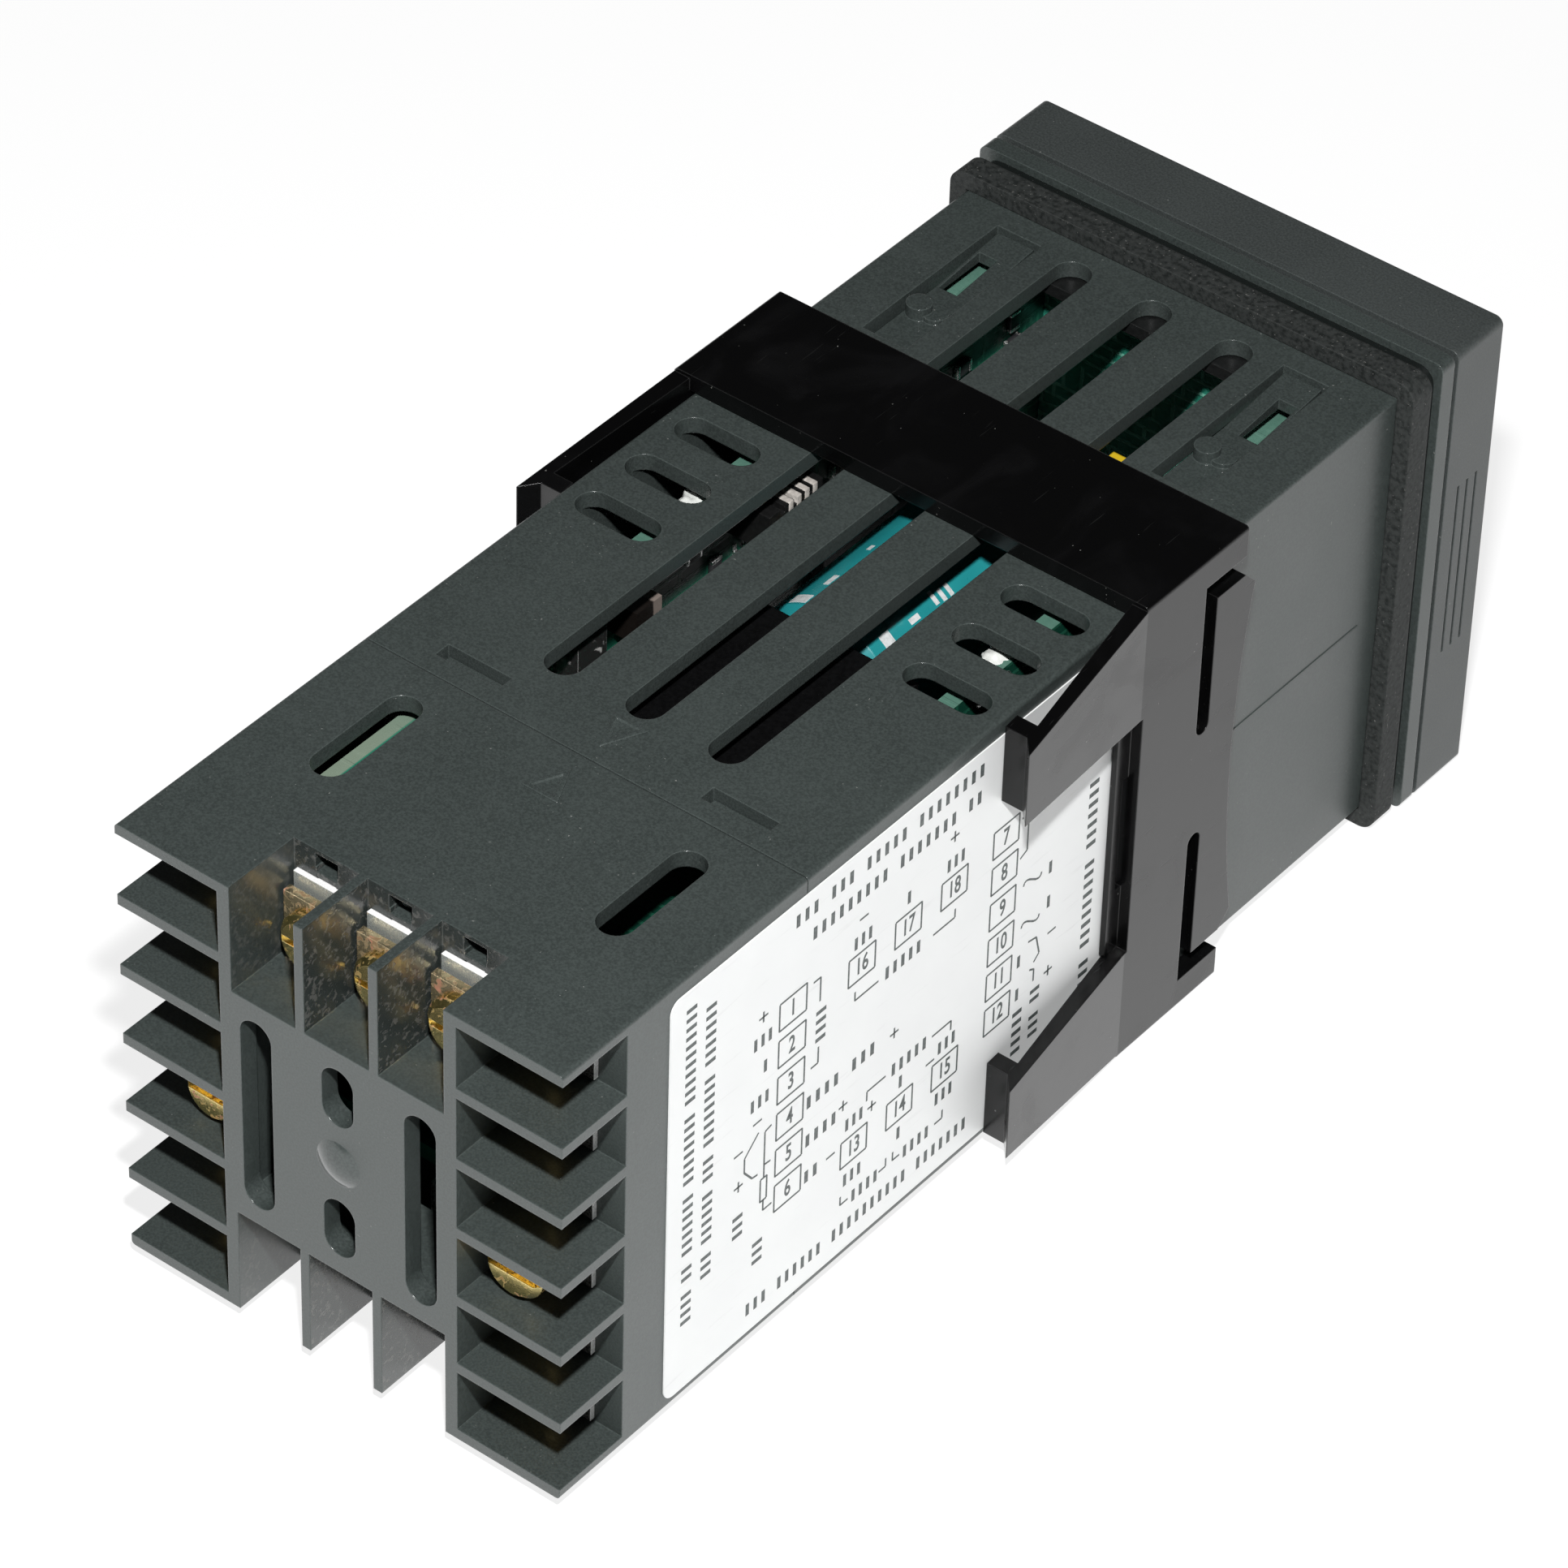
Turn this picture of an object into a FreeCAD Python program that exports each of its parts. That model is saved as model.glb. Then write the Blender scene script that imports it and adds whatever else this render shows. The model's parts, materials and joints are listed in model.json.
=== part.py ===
"""A small square temperature controller for a control panel, with its sleeve, screw terminals and clamp.

The front faces -Y, the rear +Y and +Z is up. Y = 0 is the face of the panel where the gasket seats,
on the centre line of the sleeve. Every length is in millimetres.
"""
import FreeCAD, Part
import math
import os

from FreeCAD import Vector

# Sleeve, the case that stays in the panel
sleeve_side = 44.6
sleeve_wall = 1.6
sleeve_round = 0.4
depth_behind_panel = 107.0
block_length = 29.25

# Front stack, from the panel forwards
front_overhang = 1.7
front_round = 0.8
gasket_lip = 2.6
gasket_foot = 1.5
gasket_step = 0.8
flange_thickness = 1.7
seal_thickness = 0.6
bezel_depth = 6.4
bezel_wall = 1.8
bezel_face = 1.2

# How far a cutting shape reaches past what it cuts
past = 1.0

# Clearances
slide_gap = 0.1
seat_gap = 0.05
seam_gap = 0.15
screw_gap = 0.05
clamp_gap = 0.13

# Cooling openings in the sleeve
vent_width = 3.4
vent_pitch = 8.3
vent_front = 2.0
vent_rear_margin = 6.15
vent_bridge_start = 27.0
vent_bridge_length = 6.0
oval_length = 8.1
oval_width = 3.2
oval_across = 16.7
oval_pitch = 6.35
oval_last = 53.2
oval_count = 3

# Spring fingers and catch slots in the sleeve
finger_width = 4.6
finger_across = 14.85
finger_front = 2.3
finger_length = 18.5
finger_sink = 1.0
finger_front_sink = 0.25
finger_slope_length = 9.0
finger_slit = 0.45
finger_window_length = 5.6
finger_window_width = 1.9
finger_window_start = 3.4
finger_window_outboard = 0.65
finger_post_radius = 1.15
finger_post_height = 1.15
finger_post_place = 12.85
finger_post_across = 0.7
finger_pad_radius = 1.2
finger_pad_height = 0.45
finger_pad_place = 12.4
finger_pad_across = -0.65
catch_length = 6.5
catch_width = 1.6
catch_across = 13.4
catch_before_seam = 2.75
catch_sink = 1.1

# Terminal block
bay_depth = 7.6
side_wires = 6
end_wires = 3
fin_thickness = 1.05
barrier_thickness = 1.2
divider_thickness = 0.87
middle_width = 21.4
middle_height = 23.4
back_wall = 1.4
rear_panel = 1.9
wall_notch_width = 2.3
wall_notch_height = 1.4
wall_notch_depth = 2.5
wall_notch_margin = 0.4
collar_length = 6.0
collar_wall = 1.0
long_slot_across = 8.3
long_slot_length = 19.6
short_slot_up = 6.9
short_slot_length = 5.8
panel_slot_width = 3.2
gate_dome_radius = 2.2
gate_dome_height = 0.6
top_slot_across = 14.3
top_slot_length = 11.7
top_slot_width = 3.3
top_slot_from_seam = 9.05

# Screw terminals
contact_thickness = 0.5
side_contact_end = 19.5
end_contact_end = 19.45
wire_gap = 0.4
saddle_thickness = 0.8
side_saddle_end = 18.25
end_saddle_end = 18.3
screw_radius = 1.45
screw_length = 4.25
head_radius = 2.8
head_rim = 0.6
head_crown = 0.55
head_slot_width = 0.7
side_screw_inset = 3.5
end_screw_up = 2.9
loose_screw = 2
loose_screw_lift = 2.5
tail_thickness = 0.6
tail_width = 3.0
end_tail_width = 1.8
tail_inset = 6.1
fork_blade = 0.5
fork_reach = 5.0
plate_gap = 0.3

# Label on the side
label_thickness = 0.12
label_front = 34.0
label_rear_margin = 12.6
label_low = 21.4
label_high = 20.7
label_round = 1.2

# Panel clamp
clamp_start = 23.3
clamp_length = 13.6
clamp_wall = 1.6
flap_reach = 1.5
flap_arch = 1.6
flap_corner = 1.5
flap_half_height = 19.1
flap_slot_width = 1.7
flap_slot_root = 5.4
flap_slot_back = 8.1
flap_leg_height = 2.0
tongue_length = 17.9
tongue_flare = 1.85
tongue_thickness = 1.35
tongue_inner_height = 12.5
tongue_tip_low = 14.2
tongue_tip_high = 21.5
lug_length = 1.5
lug_setback = 1.5
edge_bar_recess = 0.3
edge_bar_width = 0.9
edge_bar_slot = 0.8
edge_bar_slot_height = 11.8
edge_bar_thickness = 0.55

# Plug-in unit: frame and boards
carrier_wall = 1.2
carrier_reach = 4.0
carrier_web = 1.2
board_thickness = 1.6
board_inner = 14.8
board_rear_clearance = 11.2
display_board_back = 1.8
option_level = 9.4
option_front = 50.0
option_rear_clearance = 13.5

# Front face
window_width = 40.0
window_height = 24.0
window_top_margin = 7.5
window_thickness = 1.1
window_lip = 0.8
key_width = 8.0
key_height = 6.4
key_pitch = 9.6
key_bottom_margin = 9.0
key_count = 4
key_play = 0.15
key_proud = 0.3
key_travel = 0.6
key_flange = 0.55
key_flange_thickness = 0.75
stem_radius = 1.3
switch_side = 6.0
switch_height = 3.5
plunger_radius = 1.6
plunger_length = 1.75
well_gap = 0.15
grip_count = 3
grip_pitch = 1.3
grip_width = 0.35
grip_depth = 0.3
grip_length = 18.0

# Components on the boards
display_depth = 7.8
upper_display_width = 35.0
upper_display_height = 11.0
upper_display_margin = 1.8
lower_display_width = 30.0
lower_display_height = 8.4
display_spacing = 1.1
lamp_count = 4
lamp_pitch = 8.0
lamp_width = 2.5
lamp_height = 1.0
lamp_margin = 0.3
relay_width = 8.2
relay_length = 18.0
relay_height = 7.6
relay_spacing = 8.8
relay_middle = -3.5
relay_from_front = 0.6
capacitor_radius = 7.5
capacitor_length = 24.0
capacitor_across = 0.1
capacitor_rim = 0.8
capacitor_over_core = 3.5
capacitor_behind_film = 3.3
lead_radius = 0.4
lead_spacing = 5.0
film_width = 9.7
film_length = 5.0
film_height = 12.2
film_front = 15.3
film_low = 5.0
core_width = 11.5
core_length = 15.0
core_height = 16.0
core_leg = 3.6
core_front = 25.0
core_margin = 1.7
core_standoff = 1.6
winding_overhang = 1.0
chip_side = 12.0
chip_height = 1.4
chip_front = 18.0
header_length = 7.0
header_width = 3.7
header_height = 4.4
header_front = 34.5
header_low = 14.5
header_ways = 4
bead_length = 3.2
bead_height = 3.2
bead_front = 53.8
bead_low = 14.0
crystal_length = 3.6
crystal_width = 8.0
crystal_height = 3.4
crystal_front = 61.0
coupler_length = 4.6
coupler_width = 6.4
coupler_height = 3.3
coupler_pitch = 7.0
coupler_count = 3
coupler_front = 22.0
coupler_low = -16.0
link_length = 10.0
link_width = 2.2
link_height = 2.5
link_before_end = 9.5

# Places that follow from the sizes above
sleeve_half = sleeve_side / 2
bore_half = sleeve_half - sleeve_wall
front_half = sleeve_half + front_overhang
gasket_front = -(gasket_lip + gasket_foot)
flange_front = gasket_front - flange_thickness
bezel_rear = flange_front - seal_thickness
bezel_front = bezel_rear - bezel_depth
seam = depth_behind_panel - block_length
rear = depth_behind_panel
bay_back = rear - bay_depth
wall_front = bay_back - back_wall
middle_half = middle_width / 2
barrier_outer = middle_half + barrier_thickness
shelf = middle_height / 2
bay_height = (sleeve_side - (side_wires + 1) * fin_thickness) / side_wires
fin_pitch = bay_height + fin_thickness
end_bay_width = (middle_width - (end_wires - 1) * divider_thickness) / end_wires
end_bay_pitch = end_bay_width + divider_thickness
side_bay_heights = [(i - (side_wires - 1) / 2) * fin_pitch for i in range(side_wires)]
end_bay_places = [(i - (end_wires - 1) / 2) * end_bay_pitch for i in range(end_wires)]
saddle_front = bay_back + contact_thickness + wire_gap
saddle_back = saddle_front + saddle_thickness
side_screw = barrier_outer + side_screw_inset
end_screw = shelf + end_screw_up
board_outer = board_inner + board_thickness
board_rear = rear - board_rear_clearance
option_rear = rear - option_rear_clearance
option_top = option_level + board_thickness
carrier_half = bore_half - 2 * slide_gap
board_half_height = carrier_half - carrier_wall - slide_gap
collar_half = bore_half - slide_gap
bezel_inner = bezel_front + bezel_face
display_board_rear = -display_board_back
display_board_front = display_board_rear - board_thickness
clamp_inner = sleeve_half + label_thickness + clamp_gap
clamp_outer = clamp_inner + clamp_wall
clamp_end = clamp_start + clamp_length
key_places = [(i - (key_count - 1) / 2) * key_pitch for i in range(key_count)]
key_centre = key_bottom_margin - front_half
window_top = front_half - window_top_margin
window_centre = window_top - window_height / 2
upper_display_centre = window_top - upper_display_margin - upper_display_height / 2
lower_display_top = upper_display_centre - upper_display_height / 2 - display_spacing
lower_display_centre = lower_display_top - lower_display_height / 2
lamp_level = window_top - lamp_margin - lamp_height / 2
core_low = core_margin - board_half_height
capacitor_front = film_front + film_length + capacitor_behind_film
capacitor_up = core_low + core_height + capacitor_over_core + capacitor_radius
crystal_low = option_top + slide_gap
link_back = option_rear - link_before_end

along_x = Vector(1, 0, 0)
along_y = Vector(0, 1, 0)
along_z = Vector(0, 0, 1)
origin = Vector(0, 0, 0)


def slab(x, y, z):
    """A box between the two ends given along each axis."""
    corner = Vector(min(x), min(y), min(z))
    return Part.makeBox(abs(x[1] - x[0]), abs(y[1] - y[0]), abs(z[1] - z[0]), corner)


def span(middle, width):
    """The two ends of a length centred on a place."""
    return (middle - width / 2, middle + width / 2)


def square_bar(half, start, end, rounding=0.0):
    """A square bar about the Y axis, with its four long edges rounded."""
    bar = slab((-half, half), (start, end), (-half, half))
    if rounding > 0:
        long_edges = [e for e in bar.Edges if abs(e.tangentAt(e.FirstParameter).y) > 0.9]
        bar = bar.makeFillet(rounding, long_edges)
    return bar


def square_ring(outer, inner, start, end, rounding=0.0):
    """A square tube about the Y axis."""
    return square_bar(outer, start, end, rounding).cut(square_bar(inner, start - past, end + past))


def rod(radius, start, end):
    """A round bar between two points."""
    direction = end.sub(start)
    return Part.makeCylinder(radius, direction.Length, start, direction)


def outline_prism(points, direction):
    """A straight prism on a closed outline of points."""
    face = Part.Face(Part.makePolygon(points + [points[0]]))
    return face.extrude(direction)


def long_hole(middle, length_way, through_way, length, width, depth):
    """A round-ended hole, with its length along one direction and its depth along another."""
    side_way = through_way.cross(length_way)
    radius = width / 2
    straight = length / 2 - radius
    base = middle.sub(through_way * (depth / 2))
    far_end = base.add(length_way * straight)
    near_end = base.sub(length_way * straight)
    corners = [
        near_end.add(side_way * radius),
        far_end.add(side_way * radius),
        far_end.sub(side_way * radius),
        near_end.sub(side_way * radius),
    ]
    edges = [
        Part.makeLine(corners[0], corners[1]),
        Part.Arc(corners[1], far_end.add(length_way * radius), corners[2]).toShape(),
        Part.makeLine(corners[2], corners[3]),
        Part.Arc(corners[3], near_end.sub(length_way * radius), corners[0]).toShape(),
    ]
    return Part.Face(Part.Wire(edges)).extrude(through_way * depth)


def mirrored_x(shape):
    """The same shape on the other side."""
    return shape.mirror(origin, along_x)


def mirrored_z(shape):
    """The same shape turned upside down."""
    return shape.mirror(origin, along_z)


def four_ways(shape):
    """A shape with its mirror images left to right and top to bottom."""
    pair = [shape, mirrored_x(shape)]
    return pair + [mirrored_z(one) for one in pair]


def two_levels(shape):
    """A shape and its mirror image top to bottom."""
    return [shape, mirrored_z(shape)]


def joined(base, additions):
    """One solid from a base and what is moulded on it."""
    return base.fuse(additions).removeSplitter()


def save(name, shape):
    """Writes one sub-part and says how many solids and faces it has."""
    shape.exportStep(f"parts/{name}.step")
    print(f"{name}: {len(shape.Solids)} solid, {len(shape.Faces)} faces, {shape.Volume:.0f} mm3")


def vent_holes():
    """The long cooling slots and the rows of short ones in the sleeve's top."""
    level = sleeve_half
    depth = 4 * sleeve_wall
    vent_rear = seam - vent_rear_margin
    bridge_end = vent_bridge_start + vent_bridge_length
    holes = []
    for across in (-vent_pitch, 0.0, vent_pitch):
        for start, end in ((vent_front, vent_bridge_start), (bridge_end, vent_rear)):
            middle = Vector(across, (start + end) / 2, level)
            holes.append(long_hole(middle, along_y, along_z, end - start, vent_width, depth))
    for side in (-1, 1):
        for i in range(oval_count):
            middle = Vector(side * oval_across, oval_last - i * oval_pitch, level)
            holes.append(long_hole(middle, along_x, along_z, oval_length, oval_width, depth))
    return holes


def catch_hole():
    """The slot that a catch of the terminal block springs into."""
    return slab(
        span(catch_across, catch_length),
        span(seam - catch_before_seam, catch_width),
        (bore_half - sleeve_wall, sleeve_half + sleeve_wall),
    )


def finger_cuts():
    """What is cut away round and over one spring finger near the sleeve's front."""
    left, right = span(finger_across, finger_width)
    back = finger_front + finger_length
    through = (bore_half - sleeve_wall, sleeve_half + sleeve_wall)
    low_front = sleeve_half - finger_front_sink
    low_back = sleeve_half - finger_sink
    profile = [
        (finger_front, low_front),
        (finger_front + finger_slope_length, low_back),
        (back, low_back),
        (back, through[1]),
        (finger_front, through[1]),
    ]
    sunk = outline_prism([Vector(left, y, z) for y, z in profile], along_x * finger_width)
    front_slit = slab((left, right), (finger_front, finger_front + finger_slit), through)
    side_slits = [
        slab((left, left + finger_slit), (finger_front, back), through),
        slab((right - finger_slit, right), (finger_front, back), through),
    ]
    window_y = finger_front + finger_window_start
    window = slab(
        span(finger_across + finger_window_outboard, finger_window_width),
        (window_y, window_y + finger_window_length),
        through,
    )
    return [sunk, front_slit, window] + side_slits


def finger_studs():
    """The tall stud and the low round pad moulded on a spring finger."""
    foot = Vector(finger_across, finger_front, sleeve_half - finger_sink)
    post_foot = foot.add(Vector(finger_post_across, finger_post_place, 0))
    post = rod(finger_post_radius, post_foot, post_foot.add(along_z * finger_post_height))
    pad_foot = foot.add(Vector(finger_pad_across, finger_pad_place, finger_sink - sleeve_wall))
    pad_top = foot.add(Vector(finger_pad_across, finger_pad_place, finger_pad_height))
    return [post, rod(finger_pad_radius, pad_foot, pad_top)]


def housing_sleeve():
    """The square case: an open tube with a flange in front, cooling slots and spring fingers."""
    tube = square_bar(sleeve_half, flange_front, seam, sleeve_round)
    flange = square_bar(front_half, flange_front, gasket_front, front_round)
    body = tube.fuse(flange).cut(square_bar(bore_half, flange_front - past, seam + past))
    cuts = []
    for hole in vent_holes():
        cuts += two_levels(hole)
    cuts += four_ways(catch_hole())
    for cut in finger_cuts():
        cuts += four_ways(cut)
    body = body.cut(cuts)
    studs = []
    for stud in finger_studs():
        moved = stud.translated(along_x * (-2 * finger_across))
        studs += two_levels(stud) + two_levels(moved)
    return joined(body, studs)


def block_shell():
    """The walls of the terminal block, with its rear wall, centre box and collar."""
    start = seam + seam_gap
    walls = square_bar(sleeve_half, start, bay_back, sleeve_round)
    walls = walls.cut(square_bar(bore_half, start - past, wall_front))
    inner_shelf = shelf - barrier_thickness
    core = slab((-middle_half, middle_half), (wall_front - past, bay_back + past), (-inner_shelf, inner_shelf))
    walls = walls.cut(core)
    box_outside = slab((-barrier_outer, barrier_outer), (bay_back, rear), (-shelf, shelf))
    box_inside = slab(
        (-middle_half, middle_half),
        (wall_front, rear - rear_panel),
        (-inner_shelf, inner_shelf),
    )
    box = box_outside.cut(box_inside)
    collar_inner = collar_half - collar_wall
    collar = square_ring(collar_half, collar_inner, seam - collar_length, start + collar_wall)
    step = square_ring(sleeve_half - sleeve_wall / 2, collar_inner, start, start + collar_wall)
    return joined(walls, [box, collar, step])


def block_barriers():
    """The plates between the wires: barriers, fins at the sides and dividers at top and bottom."""
    depth = (bay_back, rear)
    plates = []
    for side in (-1, 1):
        edges = (side * middle_half, side * barrier_outer)
        plates.append(slab(edges, depth, (-sleeve_half, sleeve_half)))
        for i in range(side_wires + 1):
            low = -sleeve_half + i * fin_pitch
            plates.append(slab((side * barrier_outer, side * sleeve_half), depth, (low, low + fin_thickness)))
    for i in range(end_wires - 1):
        across = (i - (end_wires - 2) / 2) * end_bay_pitch
        divider = slab(span(across, divider_thickness), depth, (shelf, sleeve_half))
        plates += two_levels(divider)
    return plates


def block_holes():
    """The slots in the rear panel and top, the contact openings and the screw holes."""
    panel = rear - rear_panel / 2
    through = 3 * rear_panel
    holes = []
    for side in (-1, 1):
        middle = Vector(side * long_slot_across, panel, 0)
        holes.append(long_hole(middle, along_z, along_y, long_slot_length, panel_slot_width, through))
        middle = Vector(0, panel, side * short_slot_up)
        holes.append(long_hole(middle, along_z, along_y, short_slot_length, panel_slot_width, through))
    middle = Vector(top_slot_across, seam + top_slot_from_seam, sleeve_half)
    holes += four_ways(
        long_hole(middle, along_y, along_z, top_slot_length, top_slot_width, 4 * sleeve_wall)
    )
    reach = (wall_front - past, bay_back + past)
    tail = barrier_outer + tail_inset
    hole_radius = screw_radius + 5 * screw_gap
    for height in side_bay_heights:
        opening = slab(span(tail, tail_thickness + 0.3), reach, span(height, tail_width + 0.3))
        start = Vector(side_screw, reach[0], height)
        drilling = rod(hole_radius, start, start.add(along_y * (reach[1] - reach[0])))
        holes += [opening, drilling, mirrored_x(opening), mirrored_x(drilling)]
    tail_low = end_contact_end - tail_thickness - slide_gap
    notch_high = sleeve_half - wall_notch_margin
    for across in end_bay_places:
        opening = slab(
            span(across, end_tail_width + 0.3),
            reach,
            (tail_low, bore_half - slide_gap),
        )
        notch = slab(
            span(across, wall_notch_width),
            (bay_back - wall_notch_depth, bay_back + past),
            (notch_high - wall_notch_height, notch_high),
        )
        start = Vector(across, wall_front - past, end_screw)
        drilling = rod(hole_radius, start, start.add(along_y * (reach[1] - reach[0])))
        holes += two_levels(opening) + two_levels(notch) + two_levels(drilling)
    return holes


def gate_dome():
    """The low round dome in the middle of the rear panel."""
    ball_radius = (gate_dome_radius**2 + gate_dome_height**2) / (2 * gate_dome_height)
    ball = Part.makeSphere(ball_radius, Vector(0, rear + gate_dome_height - ball_radius, 0))
    reach = span(0, 2 * (gate_dome_radius + past))
    return ball.common(slab(reach, (rear - rear_panel / 2, rear + past), reach))


def catch_hook():
    """A catch on the collar that fills a slot of the sleeve."""
    return slab(
        span(catch_across, catch_length - 4 * slide_gap),
        span(seam - catch_before_seam, catch_width - 2 * slide_gap),
        (collar_half - collar_wall, sleeve_half - catch_sink),
    )


def terminal_block():
    """The rear moulding: eighteen open bays divided by thin plates round a closed centre box."""
    body = joined(block_shell(), block_barriers() + four_ways(catch_hook()))
    outline = square_bar(sleeve_half, seam - collar_length - past, rear, sleeve_round)
    return joined(body.common(outline), [gate_dome()]).cut(block_holes())


def panel_gasket():
    """The rubber ring that seals against the panel, with a wide lip and a narrower foot."""
    lip = square_bar(front_half, -gasket_lip, 0, 2 * front_round)
    foot = square_bar(front_half - gasket_step, gasket_front, -gasket_lip, 2 * front_round)
    hole = square_bar(sleeve_half + seat_gap, gasket_front - past, past)
    return lip.fuse(foot).cut(hole)


def terminal_label():
    """The printed sheet on the side that lists the terminals."""
    sheet = slab(
        (-sleeve_half, -sleeve_half - label_thickness),
        (label_front, rear - label_rear_margin),
        (-label_low, label_high),
    )
    corners = [e for e in sheet.Edges if abs(e.tangentAt(e.FirstParameter).x) > 0.9]
    return sheet.makeFillet(label_round, corners)


def side_contact(height):
    """A stamped contact: a drilled plate in the bay, and a tail that forks over the board's edge."""
    back = bay_back + contact_thickness
    plate = slab(
        (barrier_outer + plate_gap, side_contact_end),
        (bay_back, back),
        span(height, bay_height - 2 * plate_gap),
    )
    hole_start = Vector(side_screw, bay_back - past, height)
    hole = rod(screw_radius + screw_gap, hole_start, hole_start.add(along_y * (contact_thickness + 2 * past)))
    tail = barrier_outer + tail_inset
    tail_in, tail_out = span(tail, tail_thickness)
    low = height - tail_width / 2
    base_front = board_rear + 2 * slide_gap
    base_back = base_front + tail_thickness
    blade_front = board_rear - fork_reach
    near = board_inner - slide_gap
    far = board_outer + slide_gap
    outline = [
        (tail_in, back),
        (tail_in, base_back),
        (near - fork_blade, base_back),
        (near - fork_blade, blade_front),
        (near, blade_front),
        (near, base_front),
        (far, base_front),
        (far, blade_front),
        (far + fork_blade, blade_front),
        (far + fork_blade, base_front),
        (tail_out, base_front),
        (tail_out, back),
    ]
    points = [Vector(x, y, low) for x, y in outline]
    strip = outline_prism(points, along_z * tail_width)
    return joined(plate.cut(hole), [strip])


def end_contact(across):
    """A stamped contact of the top row: its tail bends down and ends as a leaf on the option board."""
    back = bay_back + contact_thickness
    tail_high = end_contact_end
    tail_low = tail_high - tail_thickness
    plate = slab(
        span(across, end_bay_width - 2 * plate_gap),
        (bay_back, back),
        (shelf + plate_gap, tail_high),
    )
    hole_start = Vector(across, bay_back - past, end_screw)
    hole = rod(screw_radius + screw_gap, hole_start, hole_start.add(along_y * (contact_thickness + 2 * past)))
    leg_front = option_rear + 1.0
    leg_back = leg_front + tail_thickness
    leaf_low = option_top + slide_gap
    leaf_high = leaf_low + fork_blade
    outline = [
        (back, tail_high),
        (leg_front, tail_high),
        (leg_front, leaf_high),
        (option_rear - fork_reach, leaf_high),
        (option_rear - fork_reach, leaf_low),
        (leg_back, leaf_low),
        (leg_back, tail_low),
        (back, tail_low),
    ]
    points = [Vector(across - end_tail_width / 2, y, z) for y, z in outline]
    strip = outline_prism(points, along_x * end_tail_width)
    return joined(plate.cut(hole), [strip])


def wire_saddle(x, y, z, screw_place):
    """The pressed plate under a terminal screw that holds the wire down."""
    plate = slab(x, y, z)
    start = screw_place.sub(along_y * past)
    end = start.add(along_y * (saddle_thickness + 2 * past))
    return plate.cut(rod(screw_radius + 3 * screw_gap, start, end))


def side_saddle(height):
    """A wire plate in a side bay."""
    return wire_saddle(
        (barrier_outer + plate_gap, side_saddle_end),
        (saddle_front, saddle_back),
        span(height, bay_height - 2 * plate_gap),
        Vector(side_screw, saddle_front, height),
    )


def end_saddle(across):
    """A wire plate in a top bay."""
    return wire_saddle(
        span(across, end_bay_width - 2 * plate_gap),
        (saddle_front, saddle_back),
        (shelf + plate_gap, end_saddle_end),
        Vector(across, saddle_front, end_screw),
    )


def terminal_screw(place):
    """A pan-headed screw with one driving slot, its head towards the rear."""
    shank = rod(screw_radius, place.sub(along_y * screw_length), place)
    rim_top = place.add(along_y * head_rim)
    rim = rod(head_radius, place, rim_top)
    crown = Part.makeCone(head_radius, head_radius - head_crown, head_crown, rim_top, along_y)
    top = place.y + head_rim + head_crown
    groove = slab(
        span(place.x, 2 * head_radius),
        (top - head_crown, top + past),
        span(place.z, head_slot_width),
    )
    return joined(shank, [rim, crown]).cut(groove)


def side_screws():
    """The screws of one side column, all but one of them driven home."""
    screws = []
    for i, height in enumerate(side_bay_heights):
        seat = saddle_back + (loose_screw_lift if i == loose_screw else 0)
        screws.append(terminal_screw(Vector(side_screw, seat, height)))
    return screws


def end_screws():
    """The screws of the top row."""
    return [terminal_screw(Vector(across, saddle_back, end_screw)) for across in end_bay_places]


def clamp_flap():
    """One spring flap in the band's side, with an arched front edge between two cut corners."""
    front = clamp_start - flap_reach
    hinge = clamp_end - flap_slot_back
    high = flap_half_height
    corner = high - flap_corner
    tips = [Vector(clamp_inner, front, -corner), Vector(clamp_inner, front, corner)]
    edges = [
        Part.makeLine(Vector(clamp_inner, hinge, -high), Vector(clamp_inner, front + flap_corner, -high)),
        Part.makeLine(Vector(clamp_inner, front + flap_corner, -high), tips[0]),
        Part.Arc(tips[0], Vector(clamp_inner, front + flap_arch, 0), tips[1]).toShape(),
        Part.makeLine(tips[1], Vector(clamp_inner, front + flap_corner, high)),
        Part.makeLine(Vector(clamp_inner, front + flap_corner, high), Vector(clamp_inner, hinge, high)),
        Part.makeLine(Vector(clamp_inner, hinge, high), Vector(clamp_inner, hinge, -high)),
    ]
    return Part.Face(Part.Wire(edges)).extrude(along_x * clamp_wall)


def clamp_ring():
    """The square band of the panel clamp, with the slots that free its spring flaps."""
    band = square_ring(clamp_outer, clamp_inner, clamp_start, clamp_end, sleeve_round)
    leg_top = flap_half_height + flap_leg_height
    hinge = clamp_end - flap_slot_back
    wall = (clamp_inner - past, clamp_outer + past)
    mouth = slab(wall, (clamp_start - past, hinge), (-leg_top, leg_top))
    recess = slab(wall, (clamp_end - edge_bar_recess, clamp_end + past), span(0, 2 * tongue_inner_height))
    band = band.cut([mouth, mirrored_x(mouth), recess, mirrored_x(recess)])
    band = joined(band, [clamp_flap(), mirrored_x(clamp_flap())])
    upright_length = leg_top - flap_slot_root
    middle = Vector(
        (clamp_inner + clamp_outer) / 2,
        hinge - flap_slot_width / 2,
        flap_slot_root + upright_length / 2,
    )
    upright = long_hole(middle, along_z, along_x, upright_length, flap_slot_width, 3 * clamp_wall)
    return band.cut(four_ways(upright))


def clamp_edge_bar():
    """The thin bar behind the band, between two tongues, with a slot beside the band."""
    front = clamp_end - edge_bar_recess
    thickness = (clamp_inner, clamp_inner + edge_bar_thickness)
    slot_end = front + edge_bar_slot
    bar = slab(thickness, (front, slot_end + edge_bar_width), span(0, 2 * tongue_inner_height))
    slot = slab(thickness, (front, slot_end), span(0, edge_bar_slot_height))
    return bar.cut(slot)


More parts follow.
